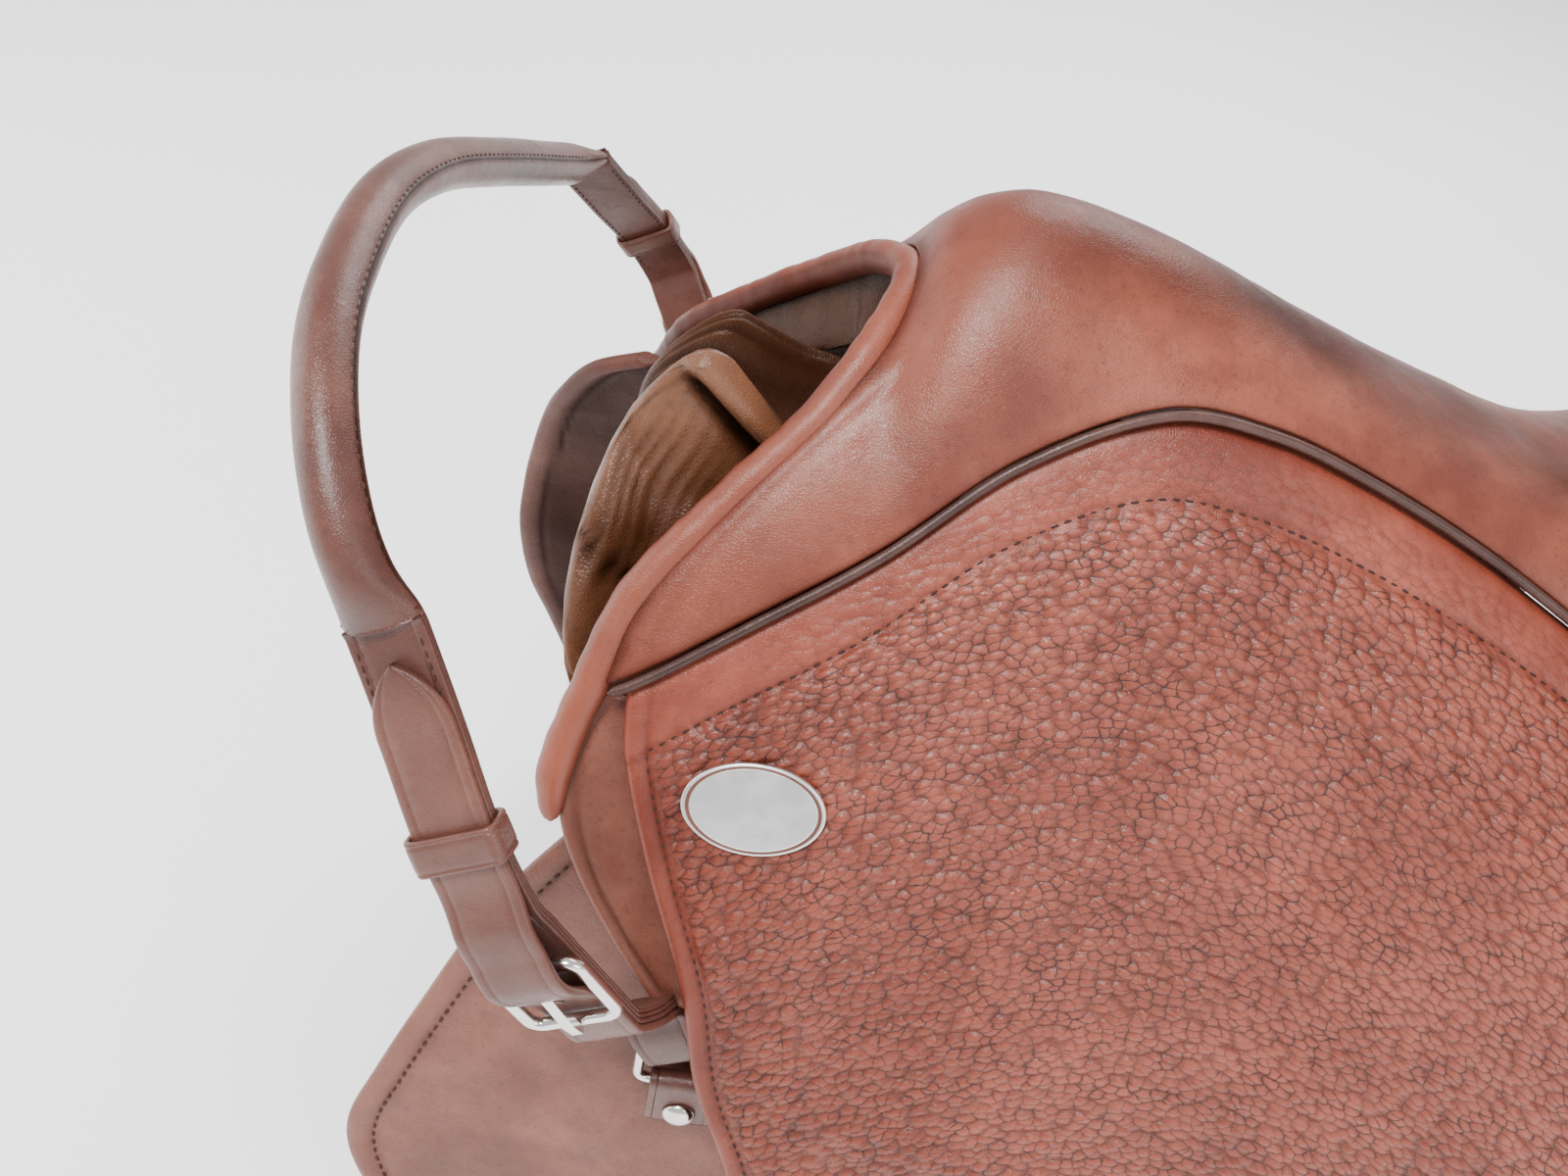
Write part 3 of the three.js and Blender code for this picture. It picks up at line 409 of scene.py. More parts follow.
def joined(parts):
    """One set of points and faces from several."""
    points, faces, start = [], [], 0
    for p, groups in parts:
        points.append(p)
        faces += [g + start for g in facing_out(p, groups)]
        start += len(p)
    return np.concatenate(points), faces


def smooth01(x):
    t = np.clip(x, 0, 1)
    return t * t * (3 - 2 * t)


def lerp(a, b, t):
    return a + (b - a) * t


def unit(v):
    return v / np.maximum(np.linalg.norm(v, axis=-1, keepdims=True), 1e-9)


def profile(points):
    """A smooth function through (x, y) points; it stays level beyond both ends."""
    px, py = np.array(points, float).T
    last = len(px) - 1
    after = np.minimum(np.arange(last + 1) + 1, last)
    before = np.maximum(np.arange(last + 1) - 1, 0)
    slope = (py[after] - py[before]) / (px[after] - px[before])

    def at(x):
        x = np.clip(np.asarray(x, float), px[0], px[-1])
        i = np.clip(np.searchsorted(px, x), 1, last)
        h = px[i] - px[i - 1]
        t = (x - px[i - 1]) / h
        curve = smooth01(t) * (py[i] - py[i - 1]) + py[i - 1]
        return curve + h * t * (1 - t) * ((1 - t) * slope[i - 1] - t * slope[i])

    return at


def fine_near_ends(length, step, near=(0, 0.35, 0.9, 1.7, 2.8, 4.2)):
    """Fractions from 0 to 1, close together near both ends, for rounded edges; lengths in mm."""
    edge = np.array(near) / length
    middle = np.linspace(edge[-1], 1 - edge[-1], max(int(length / step), 2) + 1)[1:-1]
    return np.concatenate([edge, middle, 1 - edge[::-1]])


def rounded(distance, radius):
    """0 at a rim, 1 from radius inwards, along a quarter circle."""
    t = np.clip(distance / radius, 0, 1)
    return np.sqrt(np.maximum(1 - (1 - t) ** 2, 0))


def curve_through(points, step):
    """Points every step mm along a smooth curve through the points."""
    p = np.asarray(points, float)
    p = np.concatenate([[2 * p[0] - p[1]], p, [2 * p[-1] - p[-2]]])
    knots = np.concatenate([[0], np.cumsum(np.sqrt(np.linalg.norm(np.diff(p, axis=0), axis=1)))])
    dense = []
    for i in range(1, len(p) - 2):
        t = np.linspace(knots[i], knots[i + 1], 24, endpoint=False)[:, None]
        k0, k1, k2, k3 = knots[i - 1:i + 3]
        a1 = (k1 - t) / (k1 - k0) * p[i - 1] + (t - k0) / (k1 - k0) * p[i]
        a2 = (k2 - t) / (k2 - k1) * p[i] + (t - k1) / (k2 - k1) * p[i + 1]
        a3 = (k3 - t) / (k3 - k2) * p[i + 1] + (t - k2) / (k3 - k2) * p[i + 2]
        b1 = (k2 - t) / (k2 - k0) * a1 + (t - k0) / (k2 - k0) * a2
        b2 = (k3 - t) / (k3 - k1) * a2 + (t - k1) / (k3 - k1) * a3
        dense.append((k2 - t) / (k2 - k1) * b1 + (t - k1) / (k2 - k1) * b2)
    dense.append(p[-2:-1])
    return evenly(np.concatenate(dense), step)


def evenly(path, step):
    """The path with its points step mm apart."""
    length = np.concatenate([[0], np.cumsum(np.linalg.norm(np.diff(path, axis=0), axis=1))])
    at = np.linspace(0, length[-1], max(int(round(length[-1] / step)), 2) + 1)
    return np.stack([np.interp(at, length, path[:, k]) for k in range(path.shape[1])], -1)


def arc_along(path):
    return np.concatenate([[0], np.cumsum(np.linalg.norm(np.diff(path, axis=0), axis=1))])


def frames_along(path, start, closed=False):
    """Two unit directions square to the path at each point, turning as little as they can."""
    ahead = np.roll(path, -1, 0) - np.roll(path, 1, 0)
    if not closed:
        ahead[0] = path[1] - path[0]
        ahead[-1] = path[-1] - path[-2]
    ahead = unit(ahead)
    a = np.zeros_like(path)
    current = np.asarray(start, float)
    for i, direction in enumerate(ahead):
        current = current - direction * (current @ direction)
        current = current / np.linalg.norm(current)
        a[i] = current
    return a, np.cross(ahead, a)


def circle(sides, radius=1.0):
    angle = np.arange(sides) * 2 * math.pi / sides
    return np.stack([np.cos(angle), np.sin(angle)], -1) * radius


def round_tube(path, radius, start, sides=12, closed=False):
    a, b = frames_along(path, start, closed)
    radius = np.broadcast_to(radius, len(path))
    return sweep(path, a, b, circle(sides)[None] * radius[:, None, None], closed)


def rounded_ends(path, radius, length):
    """Radius along a path that closes to a dome at both ends."""
    arc = arc_along(path)
    return radius * (0.08 + 0.92 * rounded(np.minimum(arc, arc[-1] - arc), length))


def stitches(path, normals, pitch=4.2, length=2.9, radius=0.42, sink=0.12):
    """Points and faces of a row of thread stitches lying on a surface."""
    arc = arc_along(path)
    count = int((arc[-1] - length) / pitch)
    parts = []
    ring = circle(6)
    ends = np.array([0, 0.12, 0.35, 0.65, 0.88, 1.0])
    for i in range(count + 1):
        s = i * pitch + length / 2
        here, there = (
            np.array([np.interp(s + d, arc, path[:, k]) for k in range(3)])
            for d in (-length / 2, length / 2))
        up = unit(np.array([np.interp(s, arc, normals[:, k]) for k in range(3)]))
        ahead = unit(there - here)
        side = np.cross(up, ahead)
        skew = side * rng.uniform(-0.16, 0.16)
        size = radius * rng.uniform(0.92, 1.08)
        arch = np.sin(ends * math.pi)
        line = here + ends[:, None] * (there - here) + up * ((arch * 1.2 - 0.55) * size - sink)[:, None]
        line = line + skew * (ends - 0.5)[:, None]
        fat = size * np.sqrt(np.maximum(0.06, 1 - (2 * ends - 1) ** 4))
        across = np.broadcast_to(side, line.shape)
        upward = np.broadcast_to(up, line.shape)
        parts.append(sweep(line, across, upward, ring[None] * fat[:, None, None]))
    return joined(parts)


# ---------------------------------------------------------------- the saddle's surface, in mm
crown_z = profile([
    (-285, 156), (-266, 159), (-234, 171), (-212, 179), (-199, 181), (-184, 199), (-166, 208), (-146, 208),
    (-113, 200.5), (-60, 181), (-15, 165.5), (42, 149.5), (84, 142.5), (115, 143), (150, 153), (185, 173),
    (215, 197), (240, 217), (256, 224)])
welt_y = profile([
    (-285, 110), (-266, 106), (-234, 95), (-195, 80), (-157, 61), (-114, 48.5), (-78, 47.5), (-41, 48),
    (0, 53), (37, 61), (80, 86), (120, 113), (160, 133), (197, 140), (225, 136), (256, 122)])
welt_z = profile([
    (-285, 65), (-266, 74), (-234, 95), (-195, 121), (-157, 151), (-114, 171), (-78, 170), (-41, 159),
    (0, 144), (37, 128), (80, 113), (120, 104), (160, 101), (197, 105), (225, 112), (256, 120)])
squareness = profile([(-285, 2), (0, 2.1), (80, 2.5), (150, 3.6), (256, 4)])
seat_dish = profile([(-60, 0), (60, 4), (120, 12), (190, 20), (256, 12)])
side_section = profile([
    (-260, 206), (-209, 204), (-169, 199), (-120, 190), (-72, 177), (-24, 161), (22, 141), (66, 118),
    (108, 92), (149, 63), (169, 48), (203, 15)])
pommel_edge_x = profile([
    (0, -200), (0.25, -203), (0.51, -214), (0.64, -231), (0.75, -252), (0.86, -272), (1, -281)])
SIDE_X = -150
SIDE_FLARE = 0.06
WELT_BLEND = 40
HINGE_Z = 64
SEAT_REAR_X = 254
SEAT_REAR_SWEEP = 57
ROLL_R = 6
SEAT_BEHIND_EDGE = 5.0


def seat_point(x, s):
    top = crown_z(x)
    fall = (top - welt_z(x)) * np.abs(s) ** squareness(x)
    return np.stack([x, welt_y(x) * s, top - fall + 4 * seat_dish(x) * s * s * (1 - s * s)], -1)


def side_half_width(x, z):
    plain = side_section(z) + SIDE_FLARE * (x - SIDE_X)
    at_welt = side_section(welt_z(x)) + SIDE_FLARE * (x - SIDE_X) - welt_y(x)
    rise = np.maximum(z - HINGE_Z, 0) / np.maximum(welt_z(x) - HINGE_Z, WELT_BLEND)
    return plain - at_welt * rise ** 2


def side_point(side, x, z):
    return np.stack([x, side * side_half_width(x, z), z], -1)


def moved_out(point, along, across, outward, distance):
    normal = unit(np.cross(along - point, across - point))
    normal = normal * np.where(np.sum(normal * outward, -1, keepdims=True) < 0, -1, 1)
    return point + normal * np.asarray(distance, float)[..., None]


def seat_offset(x, s, distance):
    """A place on the seat's surface, moved out by a distance in mm; s is -1 near welt to 1 far welt."""
    x, s, distance = np.broadcast_arrays(np.asarray(x, float), s, distance)
    step = np.where(s > 0, -0.01, 0.01)
    up = np.stack([np.zeros_like(x), np.sign(s) * 0.5, np.ones_like(x)], -1)
    return moved_out(seat_point(x, s), seat_point(x + 1, s), seat_point(x, s + step), up, distance)


def side_offset(side, x, z, distance):
    """A place on the side's surface, moved out of it by a distance in mm."""
    x, z, distance = np.broadcast_arrays(np.asarray(x, float), z, distance)
    out = np.array([0, side, 0.2])
    here, along, down = side_point(side, x, z), side_point(side, x + 1, z), side_point(side, x, z - 1)
    return moved_out(here, along, down, out, distance)


def wavy(points, wave, seed):
    """A soft wandering number from -1 to 1 for each point, with features about wave mm across."""
    local = np.random.default_rng(seed)
    value = np.zeros(points.shape[:-1])
    for _ in range(7):
        direction = unit(local.normal(size=3)) * 2 * math.pi / (wave * local.uniform(0.7, 1.7))
        value += np.sin(points @ direction + local.uniform(0, 2 * math.pi))
    return value / 7 * 1.8


def normals_of(grid, outward):
    """Unit normals of a grid of points, on the side of outward."""
    du = np.gradient(grid, axis=0)
    dv = np.gradient(grid, axis=1)
    normal = unit(np.cross(du, dv))
    return normal * np.where(np.sum(normal * outward, -1, keepdims=True) < 0, -1, 1)


# ---------------------------------------------------------------- materials
SEAT_HIDE = leather("seat_hide", srgb(38, 12, 6), srgb(100, 42, 27), srgb(142, 74, 54), 0.4, 1000, 0.00005,
                    coat=0.1)
FLAP_HIDE = leather("flap_hide", srgb(32, 9, 4), srgb(108, 42, 27), srgb(154, 76, 57), 0.36, pebbled=True,
                    coat=0.12)
SWEAT_HIDE = leather("sweat_hide", srgb(30, 12, 7), srgb(92, 46, 34), srgb(132, 78, 62), 0.44, 800, 0.00008)
PANEL_HIDE = leather("panel_hide", srgb(24, 10, 4), srgb(74, 38, 20), srgb(116, 74, 50), 0.36, 700, 0.00008)
STRAP_HIDE = leather("strap_hide", srgb(24, 10, 8), srgb(72, 38, 31), srgb(118, 74, 62), 0.32, 1200, 0.00005,
                     coat=0.2)
WELT_HIDE = leather("welt_hide", srgb(20, 9, 7), srgb(48, 24, 20), srgb(92, 62, 54), 0.34, 1400, 0.00003,
                    coat=0.1)
SEAM_THREAD = thread_material("tan_thread", srgb(62, 32, 17))
FLAP_THREAD = thread_material("brown_thread", srgb(48, 20, 11))
WEBBING = woven_material("webbing", srgb(92, 62, 46))
FOAM = foam_material("foam", srgb(226, 214, 184))
BEECH = wood_material("beech", srgb(196, 152, 104), srgb(146, 102, 62))
POLISHED_STEEL = steel("polished_steel", (0.83, 0.80, 0.77, 1), 0.14)
FORGED_STEEL = steel("forged_steel", (0.42, 0.42, 0.44, 1), 0.42, (200, 200, 200), 0.0002, None)
BADGE_METAL = steel("badge_metal", (0.93, 0.92, 0.92, 1), 0.3, (3000, 90, 90))
BADGE_LINE = leather("badge_line", srgb(60, 34, 26), srgb(92, 54, 42), srgb(120, 76, 60), 0.4)


def ride_all(body, *objects):
    for obj in objects:
        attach(obj, body)


# ---------------------------------------------------------------- seat and pommel
def layer_grid(us, vs, spread, front, rear):
    """x and s of a grid over the seat; front and rear are kept back by those distances."""
    s = lerp(-spread, spread, vs)[None, :]
    a = np.abs(s) / spread
    x = lerp(pommel_edge_x(a * spread) + front, SEAT_REAR_X - SEAT_REAR_SWEEP * a * a - rear, us[:, None])
    return x, np.broadcast_to(s, x.shape)


def build_seat():
    us = fine_near_ends(440, 3.2)
    vs = fine_near_ends(320, 3.2)
    edge_s = np.abs(lerp(-1, 1, vs))
    edge_x = pommel_edge_x(edge_s)
    steep = crown_z(edge_x + 4) - crown_z(edge_x)
    x, s = layer_grid(us, vs, 1.0, SEAT_BEHIND_EDGE * 4 / np.hypot(4, steep)[None, :], 0)
    length = SEAT_REAR_X + 200
    front = us[:, None] * length
    rear = (1 - us[:, None]) * length
    beside = (1 - np.abs(s)) * 150
    rim = np.minimum(np.minimum(front + 1, rear), beside)
    base = seat_point(x, s)
    edge = rounded(rim, 1.9)
    # a soft valley behind the rolled edge, then the panel of the skirt swells
    valley = -1.5 * np.exp(-(front / 5.0) ** 2) - 0.5 * np.exp(-((front - 15) / 3.2) ** 2)
    soft = 0.35 * wavy(base, 60, 3) + 0.12 * wavy(base, 18, 4)
    outer = seat_offset(x, s, -0.3 + edge * 1.9 + valley + soft * smooth01(rim / 14))
    inner = seat_offset(x, s, -0.5 - edge * 1.6 + np.minimum(valley, 0))
    points, faces = shell(outer, inner)
    # shade attribute of the seat: darker on the top of the seat, and painted shade in the valley behind the
    # rolled front edge and along the welts
    top = smooth01((0.75 - np.abs(s)) / 0.55) * smooth01((base[..., 0] + 215) / 110)
    darker_top_and_edge_shade = np.clip(0.62 * top + 0.25 * top * wavy(base, 45, 5), 0, 1)
    darker_top_and_edge_shade = np.maximum(darker_top_and_edge_shade, 0.75 * np.exp(-(front / 4.0) ** 2))
    darker_top_and_edge_shade = np.maximum(darker_top_and_edge_shade, 0.55 * np.exp(-(beside / 3.0) ** 2))
    pale = 0.5 * smooth01((front - 6) / 12) * smooth01((75 - front) / 60) * (1 - top)
    two = lambda v: np.concatenate([v.ravel(), v.ravel()])
    seat = add_piece("seat_cover", points, faces, SEAT_HIDE, "seat_hide", shade=two(darker_top_and_edge_shade), worn=two(pale))
    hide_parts("seat_leather")
    ride_all("saddle", seat)


def build_under_seat():
    us = fine_near_ends(420, 9)
    vs = fine_near_ends(250, 7)
    x, s = layer_grid(us, vs, 0.86, 18, 20)
    rim = np.minimum(np.minimum(us, 1 - us)[:, None] * 420, np.minimum(vs, 1 - vs)[None, :] * 250)
    mid, half = -9.5, 3.4
    bulge = half * (0.15 + 0.85 * rounded(rim, 4))
    points, faces = shell(seat_offset(x, s, mid + bulge), seat_offset(x, s, mid - bulge))
    foam = add_piece("seat_padding", points, faces, FOAM, "foam")
    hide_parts("seat_foam")
    ride_all("saddle", foam)
    for node, material, slot in (("tree", BEECH, "beech"), ("head_plate", FORGED_STEEL, "forged_steel")):
        dress(node, material, 0.8)


def dress(node, material, bevel):
    """A CAD node whose shape is right: softened edges and a better material."""
    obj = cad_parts[node]
    obj.data.materials.clear()
    obj.data.materials.append(material)
    cut = obj.modifiers.new("edges", "BEVEL")
    cut.width = bevel * MM
    cut.segments = 3
    cut.limit_method = "ANGLE"
    cut.angle_limit = math.radians(30)


def roll_route():
    """The middle of the rolled pommel edge, from the near arm over the pommel to the far arm."""
    arm_table = ((24, -287), (40, -288), (58, -284))
    stations = np.array([1, 0.86, 0.72, 0.58, 0.4, 0.2])
    halves = []
    for side in (NEAR, FAR):
        arm = [side_offset(side, x, z, -ROLL_R + 1.5) for z, x in arm_table]
        bow = [seat_offset(pommel_edge_x(s), side * s, -ROLL_R + 1.5) for s in stations]
        halves.append(np.array(arm + bow))
    middle = seat_offset(pommel_edge_x(0.0), 0.0, -ROLL_R + 1.5)[None]
    return curve_through(np.concatenate([halves[0], middle, halves[1][::-1]]), 1.6)


def build_pommel():
    path = roll_route()
    arc = arc_along(path)
    a, b = frames_along(path, (1, 0, 0))
    sides = 28
    angle = np.arange(sides) * 2 * math.pi / sides
    swell = 1 + 0.03 * wavy(path, 26, 8)
    radius = rounded_ends(path, ROLL_R + 0.15, 24) * swell
    ring = circle(sides)[None] * radius[:, None, None]
    points, faces = sweep(path, a, b, ring)
    grid = points.reshape(len(path), sides, 3)
    out = unit(grid - path[:, None])
    inside_bend = np.clip(-np.cos(angle)[None, :], 0, 1)
    ripple = 0.16 * np.sin(arc / 2.1 + 1.7 * wavy(path, 20, 9))[:, None] * inside_bend
    points = (grid + out * ripple[..., None]).reshape(-1, 3)
    # the roll is lighter on its upper outer side, and its underside gets painted shade
    height = np.clip(out[..., 2] * 0.5 + out[..., 1] * np.sign(path[:, 1:2]) * 0.6 + 0.1, 0, 1)
    roll = add_piece("pommel_edge_roll", points, faces, SEAT_HIDE, "seat_hide",
                     worn=(0.75 * height).ravel(), shade=(0.75 * (1 - height) ** 2).ravel())
    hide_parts("pommel_roll")
    ride_all("saddle", roll)

    # a leather facing from the roll in to the lining hides the ends of foam and tree
    vs = np.linspace(0, 1, 120)
    s = lerp(-0.97, 0.97, vs)[None, :]
    depth = np.array([7.5, 9, 12, 16, 20, 24, 28, 31, 33])[:, None]
    back = np.array([2.5, 4.2, 5.6, 6.4, 6.8, 7.0, 7.0, 7.4, 9.0])[:, None]
    x = pommel_edge_x(np.abs(s)) + back + 0.25 * wavy(seat_point(pommel_edge_x(np.abs(s)), s), 22, 11)
    front = seat_offset(x, np.broadcast_to(s, x.shape), -depth)
    behind = seat_offset(x + 1.8, np.broadcast_to(s, x.shape), -depth)
    points, faces = shell(front, behind)
    fade = np.exp(-((depth - 7.5) / 4) ** 2) * np.ones_like(s)
    facing = add_piece("pommel_facing", points, faces, PANEL_HIDE, "panel_hide", worn=0.05,
                       shade=0.75 + 0.25 * np.concatenate([fade.ravel()] * 2))
    ride_all("saddle", facing)

    us = fine_near_ends(90, 3)
    vs = fine_near_ends(110, 3)
    s = lerp(-0.5, 0.5, vs)[None, :]
    x = lerp(pommel_edge_x(np.abs(s)) + 5, -118, us[:, None])
    s = np.broadcast_to(s, x.shape)
    rim = np.minimum(np.minimum(us, 1 - us)[:, None] * 90, np.minimum(vs, 1 - vs)[None, :] * 110)
    half = 1.6 * (0.2 + 0.8 * rounded(rim, 1.6))
    sag = 0.6 * wavy(seat_point(x, s), 34, 12) * smooth01(rim / 12)
    points, faces = shell(seat_offset(x, s, -34.5 + half + sag), seat_offset(x, s, -34.5 - half + sag))
    lining = add_piece("pommel_underlay", points, faces, PANEL_HIDE, "panel_hide", worn=0.1, shade=0.25)
    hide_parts("pommel_lining")
    ride_all("saddle", lining)


def build_cantle():
    us = fine_near_ends(90, 4)
    vs = fine_near_ends(230, 4)
    s = np.broadcast_to(lerp(-0.86, 0.86, vs)[None, :], (len(us), len(vs)))
    rim_x = SEAT_REAR_X - SEAT_REAR_SWEEP * s * s
    upper = seat_offset(rim_x - 4, s, -5.0)
    lower = np.stack([rim_x - 12, upper[..., 1], np.minimum(104, upper[..., 2] - 14)], -1)
    at = upper + (lower - upper) * us[:, None, None]
    rim = np.minimum(np.minimum(us, 1 - us)[:, None] * 90, np.minimum(vs, 1 - vs)[None, :] * 230)
    half = 1.6 * (0.2 + 0.8 * rounded(rim, 1.6))
    groove = -0.5 * np.exp(-((rim - 6) / 1.2) ** 2)
    soft = 0.4 * wavy(at, 40, 13)
    back = np.array([1.0, 0, 0])
    outer = at + back * (half + groove + soft - 1.7)[..., None]
    inner = at - back * (half - soft + 1.7)[..., None]
    points, faces = shell(outer, inner)
    wear = np.concatenate([(np.exp(-(rim / 3) ** 2) * 0.5).ravel()] * 2)
    facing = add_piece("cantle_cover", points, faces, SEAT_HIDE, "seat_hide", worn=wear, shade=0.12)
    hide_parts("cantle_facing")
    row = ring_inside(outer, us * 90, vs * 230, 6)
    thread = add_piece("cantle_stitching", *stitches(row, np.broadcast_to(back, row.shape)), SEAM_THREAD)
    ride_all("saddle", facing, thread)


def ring_inside(grid, rows, columns, inset):
    """A path inset mm inside a grid's sides; rows and columns are the grid lines' places in mm."""
    r0, r1 = rows[0] + inset, rows[-1] - inset
    c0, c1 = columns[0] + inset, columns[-1] - inset
    n = 260
    r = np.concatenate([np.full(n, r0), np.linspace(r0, r1, n), np.full(n, r1), np.linspace(r1, r0, n)])
    c = np.concatenate([np.linspace(c0, c1, n), np.full(n, c1), np.linspace(c1, c0, n), np.full(n, c0)])
    return evenly(on_grid(grid, rows, columns, r, c), 0.8)


def on_grid(grid, rows, columns, r, c):
    """Points of a grid at places between its lines."""
    fr = np.interp(r, rows, np.arange(len(rows)))
    fc = np.interp(c, columns, np.arange(len(columns)))
    i = np.clip(fr.astype(int), 0, len(rows) - 2)
    j = np.clip(fc.astype(int), 0, len(columns) - 2)
    a, b = (fr - i)[:, None], (fc - j)[:, None]
    return ((1 - a) * (1 - b) * grid[i, j] + a * (1 - b) * grid[i + 1, j]
            + (1 - a) * b * grid[i, j + 1] + a * b * grid[i + 1, j + 1])


def build_welt(name, side):
    x = np.arange(-274, 192, 2.0)
    z = np.maximum(welt_z(x) - 2.0, HINGE_Z + 2)
    path = evenly(side_offset(side, x, z, 2.1), 2.0)
    radius = rounded_ends(path, 1.75, 5)
    points, faces = round_tube(path, radius, (0, 0, 1), 14)
    welt = add_piece(f"welt_{name}", points, faces, WELT_HIDE, "seat_hide", worn=0.1, shade=0.2)
    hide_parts(f"seat_welt_{name}")
    ride_all("saddle", welt)


# ---------------------------------------------------------------- flaps
flap_front = profile([
    (-238, -92), (-229, -125), (-205, -160), (-160, -187), (-96, -207), (-60, -224), (-22, -235), (17, -253),
    (50, -266), (64, -268)])
flap_rear = profile([(-238, -22), (-228, 12), (-200, 50), (-150, 78), (-90, 90), (-20, 90), (64, 78)])
FLAP_BOTTOM = -238
SEAM_BELOW_WELT = 27
EDGE_ROW = 8


def flap_grid(step):
    """x and z over the whole flap, front to rear and bottom to welt."""
    us = fine_near_ends(345, step)
    low = fine_near_ends(302, step)
    low = low[low < 1 - 3.0 / 302]
    near_welt = 1 - np.array([0, 0.5, 1.2, 2.4, 4]) / 90
    high = np.unique(np.concatenate([np.linspace(0, 0.93, int(78 / step)), near_welt]))
    u = us[None, :]
    z_low = lerp(FLAP_BOTTOM, HINGE_Z, low)[:, None] + 0 * u
    x_low = lerp(flap_front(z_low), flap_rear(z_low), u)
    x_high = lerp(-268, 78, u) + 0 * high[:, None]
    z_high = lerp(HINGE_Z, welt_z(x_high) - 1.6, high[:, None])
    x = np.concatenate([x_low, x_high])
    z = np.concatenate([z_low, z_high])
    return x, z


def edge_distances(surface):
    """Distance in mm of each grid point from the top, and from the nearest of the other three edges."""
    down = np.linalg.norm(np.diff(surface, axis=0), axis=-1)
    up = np.concatenate([np.zeros((1, down.shape[1])), np.cumsum(down, 0)])
    along = np.linalg.norm(np.diff(surface, axis=1), axis=-1)
    front = np.concatenate([np.zeros((along.shape[0], 1)), np.cumsum(along, 1)], 1)
    return up[-1] - up, np.minimum(np.minimum(front, front[:, -1:] - front), up), front, up


def contour(surface, field, level, along):
    """The path where a field that falls down each column first passes a level, for columns inside along."""
    path = []
    for j in range(surface.shape[1]):
        if not along[0] <= surface[-1, j, 0] <= along[1]:
            continue
        column = field[::-1, j]
        i = int(np.argmax(column > level))
        if i == 0:
            continue
        t = (level - column[i - 1]) / (column[i] - column[i - 1])
        path.append(lerp(surface[::-1][i - 1, j], surface[::-1][i, j], t))
    return evenly(np.array(path), 0.8)


def build_flap(name, side):
    x, z = flap_grid(2.0)
    surface = side_point(side, x, z)
    from_top, from_edge, from_front, from_bottom = edge_distances(surface)
    rim = np.minimum(from_top + 1.2, from_edge)
    seam = from_top - SEAM_BELOW_WELT
    inside = smooth01(seam / 12) * smooth01((from_edge - EDGE_ROW) / 10)
    relief = 0.9 * inside
    relief += -1.0 * np.exp(-(seam / 1.7) ** 2) * smooth01((from_edge - EDGE_ROW + 3) / 3)
    relief += -0.9 * np.exp(-((from_edge - EDGE_ROW) / 1.5) ** 2) * smooth01((from_top - 16) / 6)
    relief += 0.55 * np.exp(-((from_edge - 3.6) / 2.6) ** 2)
    relief -= 1.5 * (1 - smooth01(from_top / 7))
    # soft folds that run back from the front edge, and low swells all over
    fold = np.sin((z - 0.28 * x) / 6.4 + 1.4 * wavy(surface, 52, 21)) * np.exp(-from_front / 60)
    relief += 0.42 * fold * inside * smooth01((30 - z) / 40) + 0.35 * wavy(surface, 34, 22) * inside
    lower = np.exp(-((z + 86 + 0.12 * x) / 7) ** 2) - 0.7 * np.exp(-((z + 99 + 0.1 * x) / 8) ** 2)
    relief += 1.1 * lower * smooth01((x + 205) / 40) * smooth01((10 - x) / 90)
    edge = rounded(rim, 2.4)
    outer = side_offset(side, x, z, -2.4 + 2.4 * edge + relief * smooth01(rim / 2))
    inner = side_offset(side, x, z, -2.6 - 2.3 * edge)
    points, faces = shell(outer, inner)
    grain = smooth01((seam - 0.8) / 2.5) * smooth01((from_edge - EDGE_ROW - 1) / 3)
    faint = 0.33 * smooth01((x + 250) / 60) * smooth01((from_edge - 3) / 4) * smooth01((from_top - 6) / 8)
    grain = np.maximum(grain, faint)
    shade = 0.7 * np.exp(-(from_top / 3.0) ** 2) + 0.42 * np.exp(-(seam / 1.6) ** 2)
    shade += 0.35 * np.exp(-((from_edge - EDGE_ROW) / 1.4) ** 2)
    shade += 0.3 * smooth01((from_top - 16) / 30) * np.exp(-from_front / 45) + 0.12 * wavy(surface, 70, 23)
    worn = 0.5 * smooth01((x + 160) / 160) * smooth01((90 - np.abs(z - 30)) / 90)
    worn = worn + 0.35 * np.exp(-(from_edge / 3) ** 2)
    flat = np.stack([x, from_bottom, 0 * x], -1)
    both = lambda v: np.concatenate([v.ravel(), v.ravel()])
    back_grain = np.concatenate([grain.ravel(), np.zeros(grain.size)])
    flap = add_piece(f"flap_leather_{name}", points, faces, FLAP_HIDE, "flap_hide",
                     coords=np.concatenate([flat.reshape(-1, 3), flat.reshape(-1, 3) + (900, 0, 40)]),
                     grain=back_grain, shade=np.clip(both(shade), 0, 1), worn=np.clip(both(worn), 0, 1))
    raise_pebbles(flap)
    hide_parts(f"flap_{name}", f"flap_top_{name}")

    normal = normals_of(outer, np.array([0, side, 0.2]))
    rows = []
    path = contour(outer, from_top, SEAM_BELOW_WELT, (-261, 71))
    rows.append(path)
    inset = perimeter_row(outer, from_edge, from_front, from_bottom, EDGE_ROW)
    rows.append(inset)
    made = [stitches(row, nearest_normals(row, outer, normal), 4.4, 3.0, 0.4, 0.0) for row in rows]
    thread = add_piece(f"flap_stitching_{name}", *joined(made), FLAP_THREAD)
    hinge_y = side * float(side_half_width(np.array(SIDE_X), np.array(HINGE_Z)))
    for obj in (flap, thread):
        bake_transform(obj)
    build_badge(name, side)


